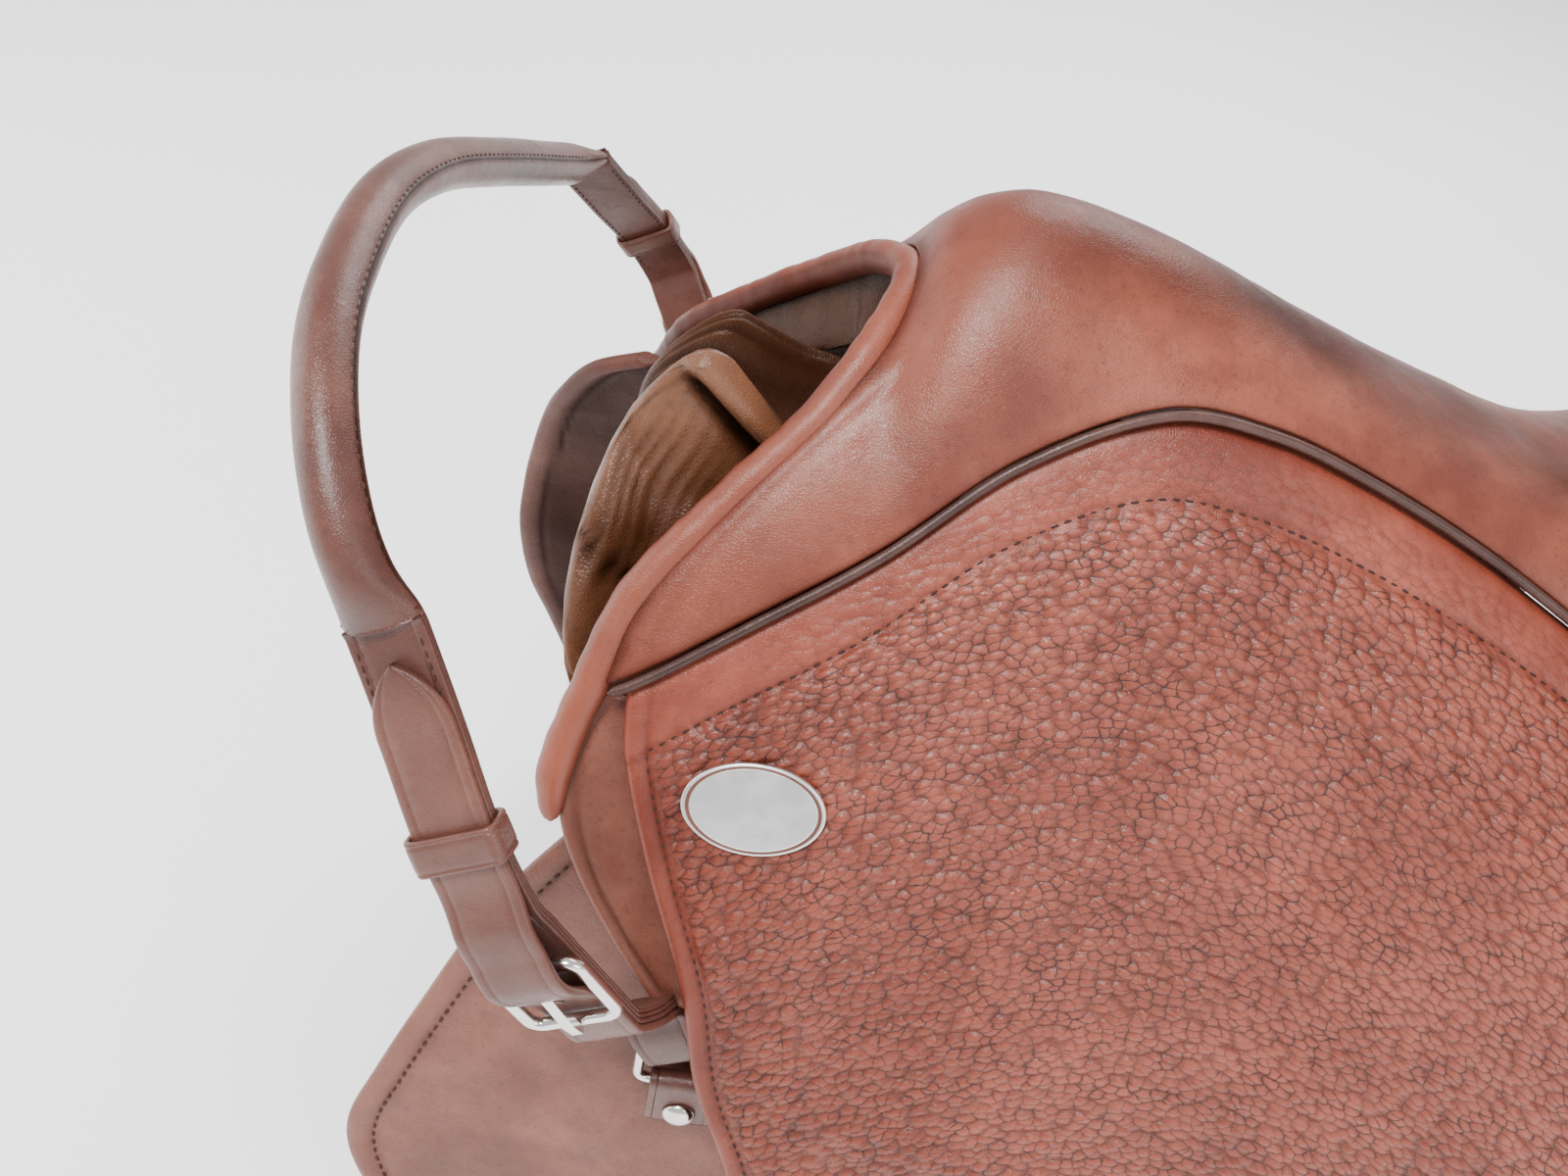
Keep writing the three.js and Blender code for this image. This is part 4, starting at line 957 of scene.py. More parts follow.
def perimeter_row(surface, from_edge, from_front, from_bottom, inset):
    """A path inset mm inside the front, bottom and rear edges of a flap, from the top of its front."""
    n = surface.shape[0]
    front, rear = [], []
    for i in range(n):
        if from_bottom[i].min() < inset:
            continue
        across = from_front[i]
        for store, at in ((front, inset), (rear, across[-1] - inset)):
            store.append([np.interp(at, across, surface[i, :, k]) for k in range(3)])
    bottom_row = int(np.argmax(from_bottom[:, surface.shape[1] // 2] >= inset))
    across = from_front[bottom_row]
    at = np.linspace(inset, across[-1] - inset, 60)[1:-1]
    bottom = np.stack([np.interp(at, across, surface[bottom_row, :, k]) for k in range(3)], -1)
    front = np.array(front)[::-1]
    front = front[front[:, 2] < 52]
    rear = np.array(rear)
    rear = rear[rear[:, 2] < 78]
    return evenly(np.concatenate([front, bottom, rear]), 0.8)


def nearest_normals(path, surface, normals):
    """The normal of the surface's nearest grid point for every point of a path."""
    flat = surface.reshape(-1, 3)
    flat_normals = normals.reshape(-1, 3)
    picked = []
    for start in range(0, len(path), 64):
        part = path[start:start + 64]
        distance = ((part[:, None] - flat[None]) ** 2).sum(-1)
        picked.append(flat_normals[np.argmin(distance, 1)])
    return np.concatenate(picked)


def raise_pebbles(obj):
    """Lifts the pebbles of the grain in the mesh itself, in the same pattern as the material shows."""
    tree = bpy.data.node_groups.new("pebbles", "GeometryNodeTree")
    tree.interface.new_socket("Geometry", in_out="INPUT", socket_type="NodeSocketGeometry")
    tree.interface.new_socket("Geometry", in_out="OUTPUT", socket_type="NodeSocketGeometry")
    nodes, link = tree.nodes, tree.links.new

    def named(name, kind):
        made = nodes.new("GeometryNodeInputNamedAttribute")
        made.data_type = kind
        made.inputs["Name"].default_value = name
        return made.outputs["Attribute"]

    def vector_math(operation, a, b):
        made = nodes.new("ShaderNodeVectorMath")
        made.operation = operation
        for socket, value in zip(made.inputs, (a, b)):
            if isinstance(value, bpy.types.NodeSocket):
                link(value, socket)
            else:
                socket.default_value = value
        return made.outputs["Vector"]

    coords = vector_math("MULTIPLY", named("rest", "FLOAT_VECTOR"), PEBBLE_SCALE)
    shake = nodes.new("ShaderNodeTexNoise")
    shake.inputs["Scale"].default_value = PEBBLE_WARP[0]
    shake.inputs["Detail"].default_value = 2
    shake.inputs["Roughness"].default_value = 0.5
    link(coords, shake.inputs["Vector"])
    centred = vector_math("SUBTRACT", shake.outputs["Color"], (0.5, 0.5, 0.5))
    sized = vector_math("MULTIPLY", centred, (PEBBLE_WARP[1],) * 3)
    moved = vector_math("ADD", coords, sized)
    cells = nodes.new("ShaderNodeTexVoronoi")
    cells.voronoi_dimensions = "2D"
    cells.inputs["Scale"].default_value = 1.0
    cells.inputs["Randomness"].default_value = PEBBLE_RANDOMNESS
    link(moved, cells.inputs["Vector"])
    squared = nodes.new("ShaderNodeMath")
    squared.operation = "POWER"
    link(cells.outputs["Distance"], squared.inputs[0])
    squared.inputs[1].default_value = 2.0
    dome = nodes.new("ShaderNodeMapRange")
    link(squared.outputs[0], dome.inputs["Value"])
    dome.inputs["From Max"].default_value = 0.42
    dome.inputs["To Min"].default_value = 0.00045
    dome.inputs["To Max"].default_value = -0.0006
    height = nodes.new("ShaderNodeMath")
    height.operation = "MULTIPLY"
    link(dome.outputs["Result"], height.inputs[0])
    link(named("grain", "FLOAT"), height.inputs[1])
    scaled = nodes.new("ShaderNodeVectorMath")
    scaled.operation = "SCALE"
    link(nodes.new("GeometryNodeInputNormal").outputs["Normal"], scaled.inputs[0])
    link(height.outputs[0], scaled.inputs["Scale"])
    place = nodes.new("GeometryNodeSetPosition")
    start, end = nodes.new("NodeGroupInput"), nodes.new("NodeGroupOutput")
    link(start.outputs[0], place.inputs["Geometry"])
    link(scaled.outputs[0], place.inputs["Offset"])
    link(place.outputs["Geometry"], end.inputs[0])
    finer = obj.modifiers.new("finer", "SUBSURF")
    finer.levels = finer.render_levels = 1
    obj.modifiers.new("pebbles", "NODES").node_group = tree
    apply_modifiers(obj)


def apply_modifiers(obj):
    """Keeps the mesh as its modifiers leave it."""
    bpy.context.view_layer.update()
    evaluated = obj.evaluated_get(bpy.context.evaluated_depsgraph_get())
    mesh = bpy.data.meshes.new_from_object(evaluated)
    obj.modifiers.clear()
    obj.data = mesh


def build_badge(name, side):
    """An oval plate with a raised rim and one border line, and nothing else on it."""
    x, z = -221.0, 43.0
    seat = side_offset(side, x, z, 1.1)
    normal = unit(side_offset(side, x, z, 2.1) - seat)
    level = np.array([1, 0, 0.05])
    level = unit(level - normal * (level @ normal))
    upward = np.cross(normal, level)
    rings = [(0, 2.25), (0.5, 2.22), (0.86, 2.1), (0.885, 2.08), (0.895, 1.95), (0.93, 1.95), (0.94, 2.07),
             (0.975, 2.0), (0.995, 1.6), (1.0, 1.1), (0.995, 0.0), (0.5, 0.0), (0, 0.0)]
    angle = np.arange(96) * 2 * math.pi / 96
    oval = np.stack([24 * np.cos(angle), 16 * np.sin(angle)], -1)
    grid = np.array([[[*(p * max(r, 0.004)), h] for p in oval] for r, h in rings])
    local = grid.reshape(-1, 3)
    points = seat + local[:, :1] * level + local[:, 1:2] * upward + local[:, 2:] * normal
    index = np.arange(len(points)).reshape(len(rings), -1)
    index = np.concatenate([index, index[:, :1]], 1)
    faces = [quads_of(index), index[:1, :-1], index[-1:, :-1][:, ::-1]]
    badge = add_piece(f"badge_plate_{name}", points, faces, BADGE_METAL, "badge_metal")
    badge.data.materials.append(BADGE_LINE)
    across = len(angle)
    for i, polygon in enumerate(badge.data.polygons):
        if i < (len(rings) - 1) * across and rings[i // across][0] in (0.885, 0.895, 0.93):
            polygon.material_index = 1
    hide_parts(f"badge_{name}")
    ride_all(f"flap_{name}", badge)


# ---------------------------------------------------------------- sweat flaps, pockets and blocks
SWEAT_BOTTOM = -243
SWEAT_OUTLINES = {                   # front edge, rear edge, bottom, top and width
    NEAR: (profile([(-243, -262), (-232, -306), (-212, -331), (-185, -350), (-155, -358), (-120, -348),
                    (-77, -331), (-20, -305), (14, -281), (40, -258)]),
           profile([(-243, -70), (-225, -5), (-170, 46), (-90, 70), (0, 66), (40, 52)]),
           SWEAT_BOTTOM, 40, 400),
    FAR: (profile([(-243, -250), (-232, -285), (-206, -309), (-162, -323), (-121, -335), (-88, -344),
                   (-45, -348), (-10, -345), (13, -341), (39, -335), (59, -328), (84, -313), (98, -292)]),
          profile([(-243, -70), (-225, -5), (-170, 46), (-90, 70), (0, 66), (20, 40), (50, -120), (75, -225),
                   (98, -262)]),
          SWEAT_BOTTOM, 98, 400),
}
sweat_depth = profile([(-243, 31), (-150, 36), (-60, 36), (0, 29), (40, 24)])


def level_grid(front, rear, bottom, top, wide, step):
    us = fine_near_ends(wide, step)
    vs = fine_near_ends(top - bottom, step)
    z = lerp(bottom, top, vs)[:, None] + 0 * us[None, :]
    return lerp(front(z), rear(z), us[None, :]), z


def build_side_leather(piece_name, nodes, side, outline, depth, thick, material, slot, roll, row,
                       thread=None, seed=30, step=3.0, darker=0.0, inside_roll=0.0, inside_shade=0.0):
    """A leather shape beside the saddle with a rolled edge and a row of stitches inside it."""
    front, rear, bottom, top, wide = outline
    x, z = level_grid(front, rear, bottom, top, wide, step)
    surface = side_point(side, x, z)
    from_top, from_edge, from_front, from_bottom = edge_distances(surface)
    rim = np.minimum(from_top, from_edge)
    relief = roll * np.exp(-((from_edge - row * 0.45) / (row * 0.34)) ** 2)
    relief -= 0.8 * np.exp(-((from_edge - row) / 1.5) ** 2)
    relief += 0.35 * wavy(surface, 44, seed) * smooth01((from_edge - row) / 8)
    edge = rounded(rim, thick * 0.5)
    inward = depth(z)
    outer = side_offset(side, x, z, -inward - thick * 0.5 + thick * 0.5 * edge + relief)
    inner = side_offset(side, x, z, -inward - thick * 0.5 - thick * 0.5 * edge - inside_roll * relief)
    points, faces = shell(outer, inner)
    shade = 0.45 * np.exp(-((from_edge - row) / 1.5) ** 2) + 0.15 * wavy(surface, 80, seed + 1) + darker
    worn = 0.5 * np.exp(-((from_edge - row * 0.4) / 4) ** 2)
    # lining: values for the back face, with painted shade that grows inward from its rolled rim
    lining = shade + inside_shade * smooth01((from_edge - row * 0.5) / row)
    both = lambda out, back: np.clip(np.concatenate([out.ravel(), back.ravel()]), 0, 1)
    made = add_piece(piece_name, points, faces, material, slot, shade=both(shade, lining),
                     worn=both(worn, worn * 0.5))
    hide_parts(*nodes)
    ride_all("saddle", made)
    if thread:
        normal = normals_of(outer, np.array([0, side, 0.2]))
        path = perimeter_row(outer, from_edge, from_front, from_bottom, row)
        across = nearest_normals(path, outer, normal)
        sewn = add_piece(f"{piece_name}_stitching", *stitches(path, across, 4.8, 3.5, 0.6, 0.05), thread)
        ride_all("saddle", sewn)


def build_pad(piece_name, node, side, outline, depth, thick, seed):
    """A stuffed leather block: a crowned closed form, thin at its rim."""
    front, rear, bottom, top, wide = outline
    x, z = level_grid(front, rear, bottom, top, wide, 1.8)
    surface = side_point(side, x, z)
    from_top, from_edge, _, _ = edge_distances(surface)
    rim = np.minimum(from_top, from_edge)
    crown = thick * 0.5 * (0.1 + 0.9 * rounded(rim, wide * 0.48))
    soft = 0.25 * wavy(surface, 16, seed) * smooth01(rim / 5)
    outer = side_offset(side, x, z, -depth - thick * 0.5 + crown + soft)
    inner = side_offset(side, x, z, -depth - thick * 0.5 - crown)
    points, faces = shell(outer, inner)
    pad = add_piece(piece_name, points, faces, PANEL_HIDE, "flap_hide", worn=0.2, shade=0.15)
    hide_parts(node)
    ride_all("saddle", pad)


def build_side_pieces(name, side):
    # on the far side darker=0.55 is painted shade over the whole sweat leather; the pocket's darker=0.2
    # below is its own darker tone
    build_side_leather(
        f"sweat_leather_{name}", [f"sweat_flap_{name}"], side, SWEAT_OUTLINES[side],
        sweat_depth, 3.5, SWEAT_HIDE, "sweat_hide", 1.9, 11.5, thread=SEAM_THREAD, seed=31,
        inside_roll=1.0, inside_shade=0.4, darker=0.55 if side == FAR else 0.0)
    pocket_front = profile([(-34, -243), (-12, -262), (12, -279), (30, -286), (50, -286), (66, -278)])
    build_side_leather(
        f"pocket_leather_{name}", [f"point_pocket_{name}"], side,
        (pocket_front, lambda z: -214 + 0 * z, -34, 66, 60), lambda z: 6.5 + 0 * z, 3, SWEAT_HIDE,
        "seat_hide", 0.9, 6.0, seed=33, step=2.0, darker=0.2)
    knee_front = profile([(-150, -158), (-90, -180), (0, -200)])
    knee_rear = profile([(-150, -130), (-90, -150), (0, -172)])
    knee = (knee_front, knee_rear, -150, 0, 28)
    build_pad(f"knee_pad_{name}", f"knee_block_{name}", side, knee, 6, 16, 35)
    thigh = (lambda z: 49 + 0 * z, lambda z: 68 + 0 * z, -140, -20, 19)
    build_pad(f"thigh_pad_{name}", f"thigh_block_{name}", side, thigh, 6, 16, 36)


# ---------------------------------------------------------------- panels
PANEL_TOPS = {
    NEAR: profile([(-297, 158), (-278, 168), (-262, 168), (-244, 150), (-222, 128), (-190, 120), (-150, 118),
                   (-60, 110), (40, 98), (150, 92), (238, 100)]),
    FAR: profile([(-297, 140), (-262, 138), (-222, 124), (-150, 118), (-60, 110), (40, 98), (150, 92),
                  (238, 100)]),
}
panel_foot = profile([(-297, 20), (-200, 12), (-100, 6), (0, 4), (100, 14), (180, 34), (238, 62)])
PANEL_DEPTHS = {
    NEAR: profile([(-320, 20), (-297, 18), (-288, 26), (-280, 36), (-268, 46), (20, 48), (120, 48),
                   (238, 66)]),
    FAR: profile([(-290, 44), (-268, 46), (20, 48), (120, 48), (238, 66)]),
}
PANEL_FRONTS = {
    NEAR: profile([(0, -264), (0.25, -286), (0.5, -295), (0.75, -294), (1, -285)]),
    FAR: profile([(0, -264), (0.25, -282), (0.5, -288), (0.75, -286), (1, -278)]),
}
GULLET_HALF = 30
PANEL_THICK_TOP = 9
PANEL_THICK_MID = 30


PANEL_FOLDS = [                      # ends (X, Z) of a pleat, the tuck under it and a fold lower down
    ((-266, 158), (-218, 118)), ((-260, 142), (-224, 108)), ((-296, 95), (-262, 70))]


def beside_line(grid, start, end):
    """A function of width: 1 on the line from start to end in side view, falling off beside it."""
    (x0, z0), (x1, z1) = start, end
    along = np.array([x1 - x0, z1 - z0], float)
    length = np.hypot(*along)
    along /= length
    x, z = grid[..., 0] - x0, grid[..., 2] - z0
    t = x * along[0] + z * along[1]
    gap = np.maximum(np.maximum(-t, t - length), 0)
    across = x * -along[1] + z * along[0]
    return lambda width: np.exp(-(across / width) ** 2 - (gap / 8) ** 2)


def near_fold(grid):
    return np.exp(-((grid[..., 0] + 272) / 20) ** 2 - ((grid[..., 2] - 108) / 30) ** 2)


def build_panel(name, side):
    """A stuffed panel: a rounded closed form, gathered where its front end is sewn."""
    length = 520
    us = fine_near_ends(length, 3.0, (0, 0.4, 1.2, *np.arange(2.4, 84, 1.3)))
    angle = np.linspace(0, 2 * math.pi, 193)[:-1]
    end = rounded(np.minimum(us, 1 - us) * length, 15)[:, None]
    power = 0.62
    v = 0.5 + 0.5 * np.sign(np.sin(angle)) * np.abs(np.sin(angle)) ** power * end
    w = 0.5 + 0.5 * np.sign(np.cos(angle)) * np.abs(np.cos(angle)) ** power * end
    x = lerp(PANEL_FRONTS[side](v), 238 - 30 * v, us[:, None])
    z = lerp(PANEL_TOPS[side](x), panel_foot(x), v)
    outer = np.maximum(side_half_width(x, z) - PANEL_DEPTHS[side](x), GULLET_HALF + PANEL_THICK_TOP)
    fullness = np.sin(math.pi * np.minimum(v * 1.1, 0.9))
    thick = PANEL_THICK_TOP + (PANEL_THICK_MID - PANEL_THICK_TOP) * fullness
    inner = np.maximum(outer - thick, GULLET_HALF)
    grid = np.stack([x, side * lerp(inner, outer, w), z - (1 - w) * 6 * (1 - v)], -1)
    centre = grid.mean(1, keepdims=True)
    out = unit(grid - centre)
    distance = us[:, None] * length
    gather = np.sin(angle[None, :] * 13 + 1.6 * wavy(grid, 50, 41))
    gather = gather * np.exp(-distance / 26) * smooth01(distance / 8)
    crease = -np.exp(-((grid[..., 2] - 92 + 0.35 * (grid[..., 0] + 270)) / 3.2) ** 2)
    crease -= 0.8 * np.exp(-((grid[..., 2] - 52 - 0.3 * (grid[..., 0] + 270)) / 3.0) ** 2)
    crease = crease * np.exp(-distance / 55) * smooth01(distance / 6)
    swell = 0.8 * wavy(grid, 70, 42) + 0.3 * wavy(grid, 18, 43) * np.exp(-distance / 120)
    grid = grid + out * (1.15 * gather + 1.8 * crease + swell - 0.8)[..., None]
    outside = smooth01((w - 0.5) / 0.3)
    fold = np.zeros_like(distance * w)
    if side == NEAR:
        bulge = 9 * np.exp(-((grid[..., 0] + 262) / 26) ** 2 - ((grid[..., 2] - 104) / 30) ** 2)
        pleat, tuck, hem = (beside_line(grid, *ends) for ends in PANEL_FOLDS)
        fold = 6.5 * pleat(5.5) - 5.5 * tuck(3.2) - 3.5 * hem(2.6)
        phase = (grid[..., 0] - 0.35 * grid[..., 2]) / 0.9 + 3 * wavy(grid, 24, 45)
        fold = fold + 0.55 * np.sin(phase) * near_fold(grid)
        grid[..., 1] += side * outside * (bulge + fold)
    n, m = grid.shape[:2]
    index = np.arange(n * m).reshape(n, m)
    index = np.concatenate([index, index[:, :1]], 1)
    faces = [quads_of(index), index[:1, :-1], index[-1:, :-1][:, ::-1]]
    # painted shade in the creases, gather troughs, tucks and hem fold and on the far panel's inner face,
    # with random tone; painted highlights on the gather ridges and the raised pleat, and lighter towards the
    # sewn front end
    shade = np.clip(-0.55 * crease - 0.35 * np.minimum(gather, 0) + 0.18 + 0.2 * wavy(grid, 60, 44)
                    - 0.22 * fold * outside + (0.45 * (1 - outside) if side == FAR else 0), 0, 1)
    worn = np.clip(0.4 * np.maximum(gather, 0) + 0.25 * np.exp(-distance / 60) + 0.12 * fold * outside, 0, 1)
    panel = add_piece(f"panel_stuffed_{name}", grid.reshape(-1, 3), faces, PANEL_HIDE, "panel_hide",
                      shade=shade.ravel(), worn=worn.ravel())
    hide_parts(f"panel_{name}")
    ride_all("saddle", panel)


# ---------------------------------------------------------------- straps
def ribbon_section(half_wide, thick, crease_in=3.6, crease_deep=0.35, crown=0.15):
    """Sections of a strap, (across, up) in mm, one per half width: round edges, a crease line near each."""
    inset = np.array([
        0, 0.25, 0.7, 1.4, 2.3, 3.0, crease_in - 0.25, crease_in, crease_in + 0.25, 4.4, 6.5, 9.2, 12.5])
    inset = inset / 12.5
    left = -1 + inset
    across = np.concatenate([left, -left[-2::-1]])
    half_wide = np.atleast_1d(half_wide)[:, None]
    thick = np.broadcast_to(np.atleast_1d(thick)[:, None], half_wide.shape)
    c = across[None, :] * half_wide
    from_side = half_wide - np.abs(c)
    edge = 0.3 + 0.7 * rounded(from_side, np.minimum(thick * 0.5, np.maximum(half_wide * 0.6, 0.3)))
    scale = half_wide / 12.5
    line = crease_deep * np.exp(-((from_side - crease_in * scale) / 0.34) ** 2) * smooth01(scale * 2)
    top = thick * 0.5 * edge + crown * (1 - across[None, :] ** 2) - line
    bottom = -thick * 0.5 * edge
    upper = np.stack([c, top], -1)
    lower = np.stack([c, bottom], -1)[:, ::-1]
    return np.concatenate([upper, lower], 1)


def gothic_half_width(distance, half):
    """Half width of a strap at a distance from its pointed tip: two arcs that meet in a point."""
    rise = math.sqrt(3) * half
    height = np.clip(rise - distance, 0, rise)
    return np.where(distance >= rise, half, np.maximum(np.sqrt(4 * half ** 2 - height ** 2) - half, 0.15))


def punch(obj, centres, directions, radius, deep=8, long=None):
    """Cuts round or oval holes through a strap."""
    parts = []
    for centre, (direction, along) in zip(centres, directions):
        direction, along = unit(np.asarray(direction, float)), unit(np.asarray(along, float))
        side = np.cross(direction, along)
        ring = circle(16, radius)
        if long:
            ring = ring + np.stack([np.sign(ring[:, 0]) * (long - 2 * radius) * 0.5, 0 * ring[:, 0]], -1)
        path = np.array([centre - direction * deep, centre + direction * deep])
        parts.append(sweep(path, np.array([along, along]), np.array([side, side]), np.stack([ring, ring])))
    points, faces = joined(parts)
    tool = add_piece(obj.name + "_tool", points, faces, obj.data.materials[0])
    cut = obj.modifiers.new("holes", "BOOLEAN")
    cut.operation = "DIFFERENCE"
    cut.object = tool
    apply_modifiers(obj)
    bpy.data.objects.remove(tool)


def build_girth_straps(name, side):
    for place, x in (("front", -74), ("middle", -30), ("rear", 14)):
        z = np.linspace(96, -214, 190)
        y = side_half_width(x + 0 * z, z) - 13 - 3 * smooth01((z - 20) / 20) + 1.8
        path = np.stack([x + 0 * z, side * y, z], -1)
        path = evenly(path, 1.8)
        arc = arc_along(path)
        ahead = unit(np.gradient(path, axis=0))
        across = np.broadcast_to(np.array([1.0, 0, 0]), path.shape)
        out = unit(np.cross(ahead, across))
        out = out * np.sign(out[:, 1:2] * side)
        half = gothic_half_width(arc[-1] - arc, 12.4)
        section = ribbon_section(half, 3.4)
        points, faces = sweep(path, across, out, section)
        strap = add_piece(f"girth_billet_{place}_{name}", points, faces, STRAP_HIDE, "strap_hide",
                          worn=0.25, shade=0.1)
        hole_at = arc[-1] - 38 - 25 * np.arange(6)
        picked = [int(np.argmin(abs(arc - h))) for h in hole_at]
        punch(strap, path[picked], [(out[i], ahead[i]) for i in picked], 2.1)
        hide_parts(f"girth_strap_{place}_{name}")
        ride_all(f"girth_strap_{place}_{name}", strap)


def build_web(name, side):
    z = np.linspace(98, 134, 24)
    inner = side_half_width(22 + 0 * z, z) - 12
    xs = np.linspace(-82, 22, 80)
    grid_z, grid_x = np.meshgrid(z, xs, indexing="ij")
    edge = rounded(np.minimum(grid_z - 98, 134 - grid_z), 0.8) * 0.7 + 0.1
    ribs = 0.12 * np.sin(grid_x * 2.1)
    y = inner[:, None] + 0.8
    outer = np.stack([grid_x, side * (y + edge + ribs), grid_z], -1)
    back = np.stack([grid_x, side * (y - edge + ribs), grid_z], -1)
    points, faces = shell(outer, back)
    web = add_piece(f"girth_web_{name}", points, faces, WEBBING, "webbing")
    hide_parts(f"strap_web_{name}")
    ride_all("saddle", web)


# ---------------------------------------------------------------- rings and tabs
RING_X, RING_Y, RING_Z = -226, 150.5, -74
RING_BOW_R = 18
RING_LEG = 14
WIRE_R = 2


def ring_route():
    """The middle of the ring's wire in (x, z): a bow over a straight bar, with rounded corners."""
    angle = np.linspace(0, math.pi, 40)
    bow = np.stack([RING_BOW_R * np.cos(angle), RING_BOW_R * np.sin(angle)], -1)
    turn = np.linspace(0, math.pi / 2, 8)
    r = 4
    left = np.stack([-RING_BOW_R + r - r * np.cos(turn), -RING_LEG + r - r * np.sin(turn)], -1)
    right = left[::-1] * (-1, 1)
    return evenly(np.concatenate([bow, left, right, bow[:1]]), 1.2)[:-1]


def build_ring(name, side):
    route = ring_route()
    path = np.stack([RING_X + route[:, 0], np.full(len(route), side * RING_Y), RING_Z + route[:, 1]], -1)
    points, faces = round_tube(path, WIRE_R, (0, 1, 0), 16, closed=True)
    ring = add_piece(f"ring_wire_{name}", points, faces, POLISHED_STEEL, "polished_steel")
    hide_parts(f"ring_{name}")
    bar = RING_Z - RING_LEG
    wrap = WIRE_R + 1.15
    turn = np.linspace(-math.pi / 2, math.pi / 2, 18)
    over = np.stack([-np.sin(turn) * wrap, np.cos(turn) * wrap], -1)
    leg = (-22, -12, -5)
    route = np.concatenate([[(wrap, z) for z in leg], over, [(-wrap, z) for z in reversed(leg)]])
    turned = np.stack([0 * route[:, 0], side * (RING_Y + route[:, 0]), bar + route[:, 1]], -1)
    path = evenly(turned, 1.2) + (RING_X, 0, 0)
    ahead = unit(np.gradient(path, axis=0))
    across = np.broadcast_to(np.array([1.0, 0, 0]), path.shape)
    out = unit(np.cross(ahead, across))
    out = out * np.sign(np.sum(out * (path - path.mean(0)), -1, keepdims=True) + 1e-9)
    section = ribbon_section(np.full(len(path), 12.9), 1.9, 2.6, 0.2)
    points, faces = sweep(path, across, out, section)
    tab = add_piece(f"ring_tab_leather_{name}", points, faces, STRAP_HIDE, "strap_hide", worn=0.2, shade=0.1)
    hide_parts(f"ring_tab_{name}")
    angle = np.arange(40) * 2 * math.pi / 40
    grid = np.array([[(r * math.cos(a), h, r * math.sin(a)) for a in angle] for r, h in STUD_DOME])
    local = grid.reshape(-1, 3) * (1, side, 1)
    points = local + (RING_X, side * (RING_Y + 4.7), bar - 15)
    index = np.arange(len(points)).reshape(len(STUD_DOME), -1)
    index = np.concatenate([index, index[:, :1]], 1)
    faces = [quads_of(index), index[:1, :-1], index[-1:, :-1][:, ::-1]]
    stud = add_piece(f"ring_dome_{name}", points, faces, POLISHED_STEEL, "polished_steel")
    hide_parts(f"ring_stud_{name}")
    ride_all("saddle", ring, tab, stud)


# ---------------------------------------------------------------- handle
LEAN = math.radians(61)
HANDLE_UP = np.array([-math.cos(LEAN), 0, math.sin(LEAN)])
RINGS_AT = np.array([RING_X, 0, RING_Z], float)
STRAP_HALF = 12.5
BILLET_THICK = 3.2
BASE_THICK = 4.5
HEEL_AT = 99.5 + 37.4 / 2 - 2.2
BUCKLE_AT = 99.5
BUCKLE_HALF_LONG = 18.7
BUCKLE_HALF_WIDE = 17.4
BUCKLE_BAR = 4.4
BUCKLE_LIFT = 5.9
KEEPER_AT = 163
KEEPER_LONG = 12
KEEPER_THICK = 1.9
STUD_DOME = (                        # radius and height of the domed stud's rings, from its top
    (0.05, 3.3), (1.5, 3.25), (3.2, 2.9), (4.8, 2.2), (5.9, 1.3), (6.4, 0.5), (6.4, 0.0), (0.05, 0.0))
STRAP_ROUTES = {
    NEAR: [(5, 150.5), (22, 150.5), (35, 151.5), (49, 165), (62, 175.5), (68, 177.2), (75, 178), (100, 181),
           (125, 184), (137, 185.4), (165, 178.5), (192, 165.5), (206, 159), (222, 152)],
    FAR: [(5, 150.5), (22, 150.5), (35, 152), (49, 172), (62, 191), (68, 197.5), (75, 200), (100, 207),
          (125, 214), (137, 217), (165, 206), (192, 186), (206, 176), (220, 166)],
}
GRIP_ROUTE = ((223, -149), (238, -146), (252, -139), (270, -121), (285, -94), (292, -60), (293, -22),
              (284, 20), (262, 73), (241, 118), (221, 161))
GRIP_R = 9


class HandleSide:
    """Places on one side of the handle: u runs up from the ring, d is how far out of the strap's face."""

    def __init__(self, side):
        self.side = side
        self.out = np.array([0, side, 0], float)
        self.across = np.cross(HANDLE_UP, self.out)
        self.route = profile(STRAP_ROUTES[side])
        self.end = STRAP_ROUTES[side][-1][0]
        self.rise = profile([
            (9, 0.2), (86, 0.2), (96, 3.2), (HEEL_AT - 6, 10), (HEEL_AT + 2, 11), (130, 7), (144, 1.5),
            (152, 0.3), (300, 0.3)])
        self.spread = profile([(9, 2.35), (21.5, 2.35), (32, 0.2), (300, 0.2)])
        self.base_thick = profile([(9, 3), (22, 3), (60, BASE_THICK), (300, BASE_THICK)])

    def flat(self, u, d):
        """(u, y) of a place d mm out from the strap's middle line."""
        angle = np.arctan2(self.route(u + 1) - self.route(u - 1), 2)
        return np.stack([u - np.sin(angle) * d, self.route(u) + np.cos(angle) * d], -1)

    def world(self, uy, w=0.0):
        uy = np.asarray(uy, float)
        beside = np.asarray(w)[..., None] * self.across
        return RINGS_AT + uy[..., :1] * HANDLE_UP + uy[..., 1:2] * self.out + beside

    def frame_at(self, u, lift):
        """A place on the strap, with the directions along it and out from it."""
        angle = float(np.arctan2(self.route(u + 1) - self.route(u - 1), 2))
        at = self.world(self.flat(np.array(float(u)), lift))
        along = HANDLE_UP * math.cos(angle) + self.out * math.sin(angle)
        out = -HANDLE_UP * math.sin(angle) + self.out * math.cos(angle)
        return at, along, out


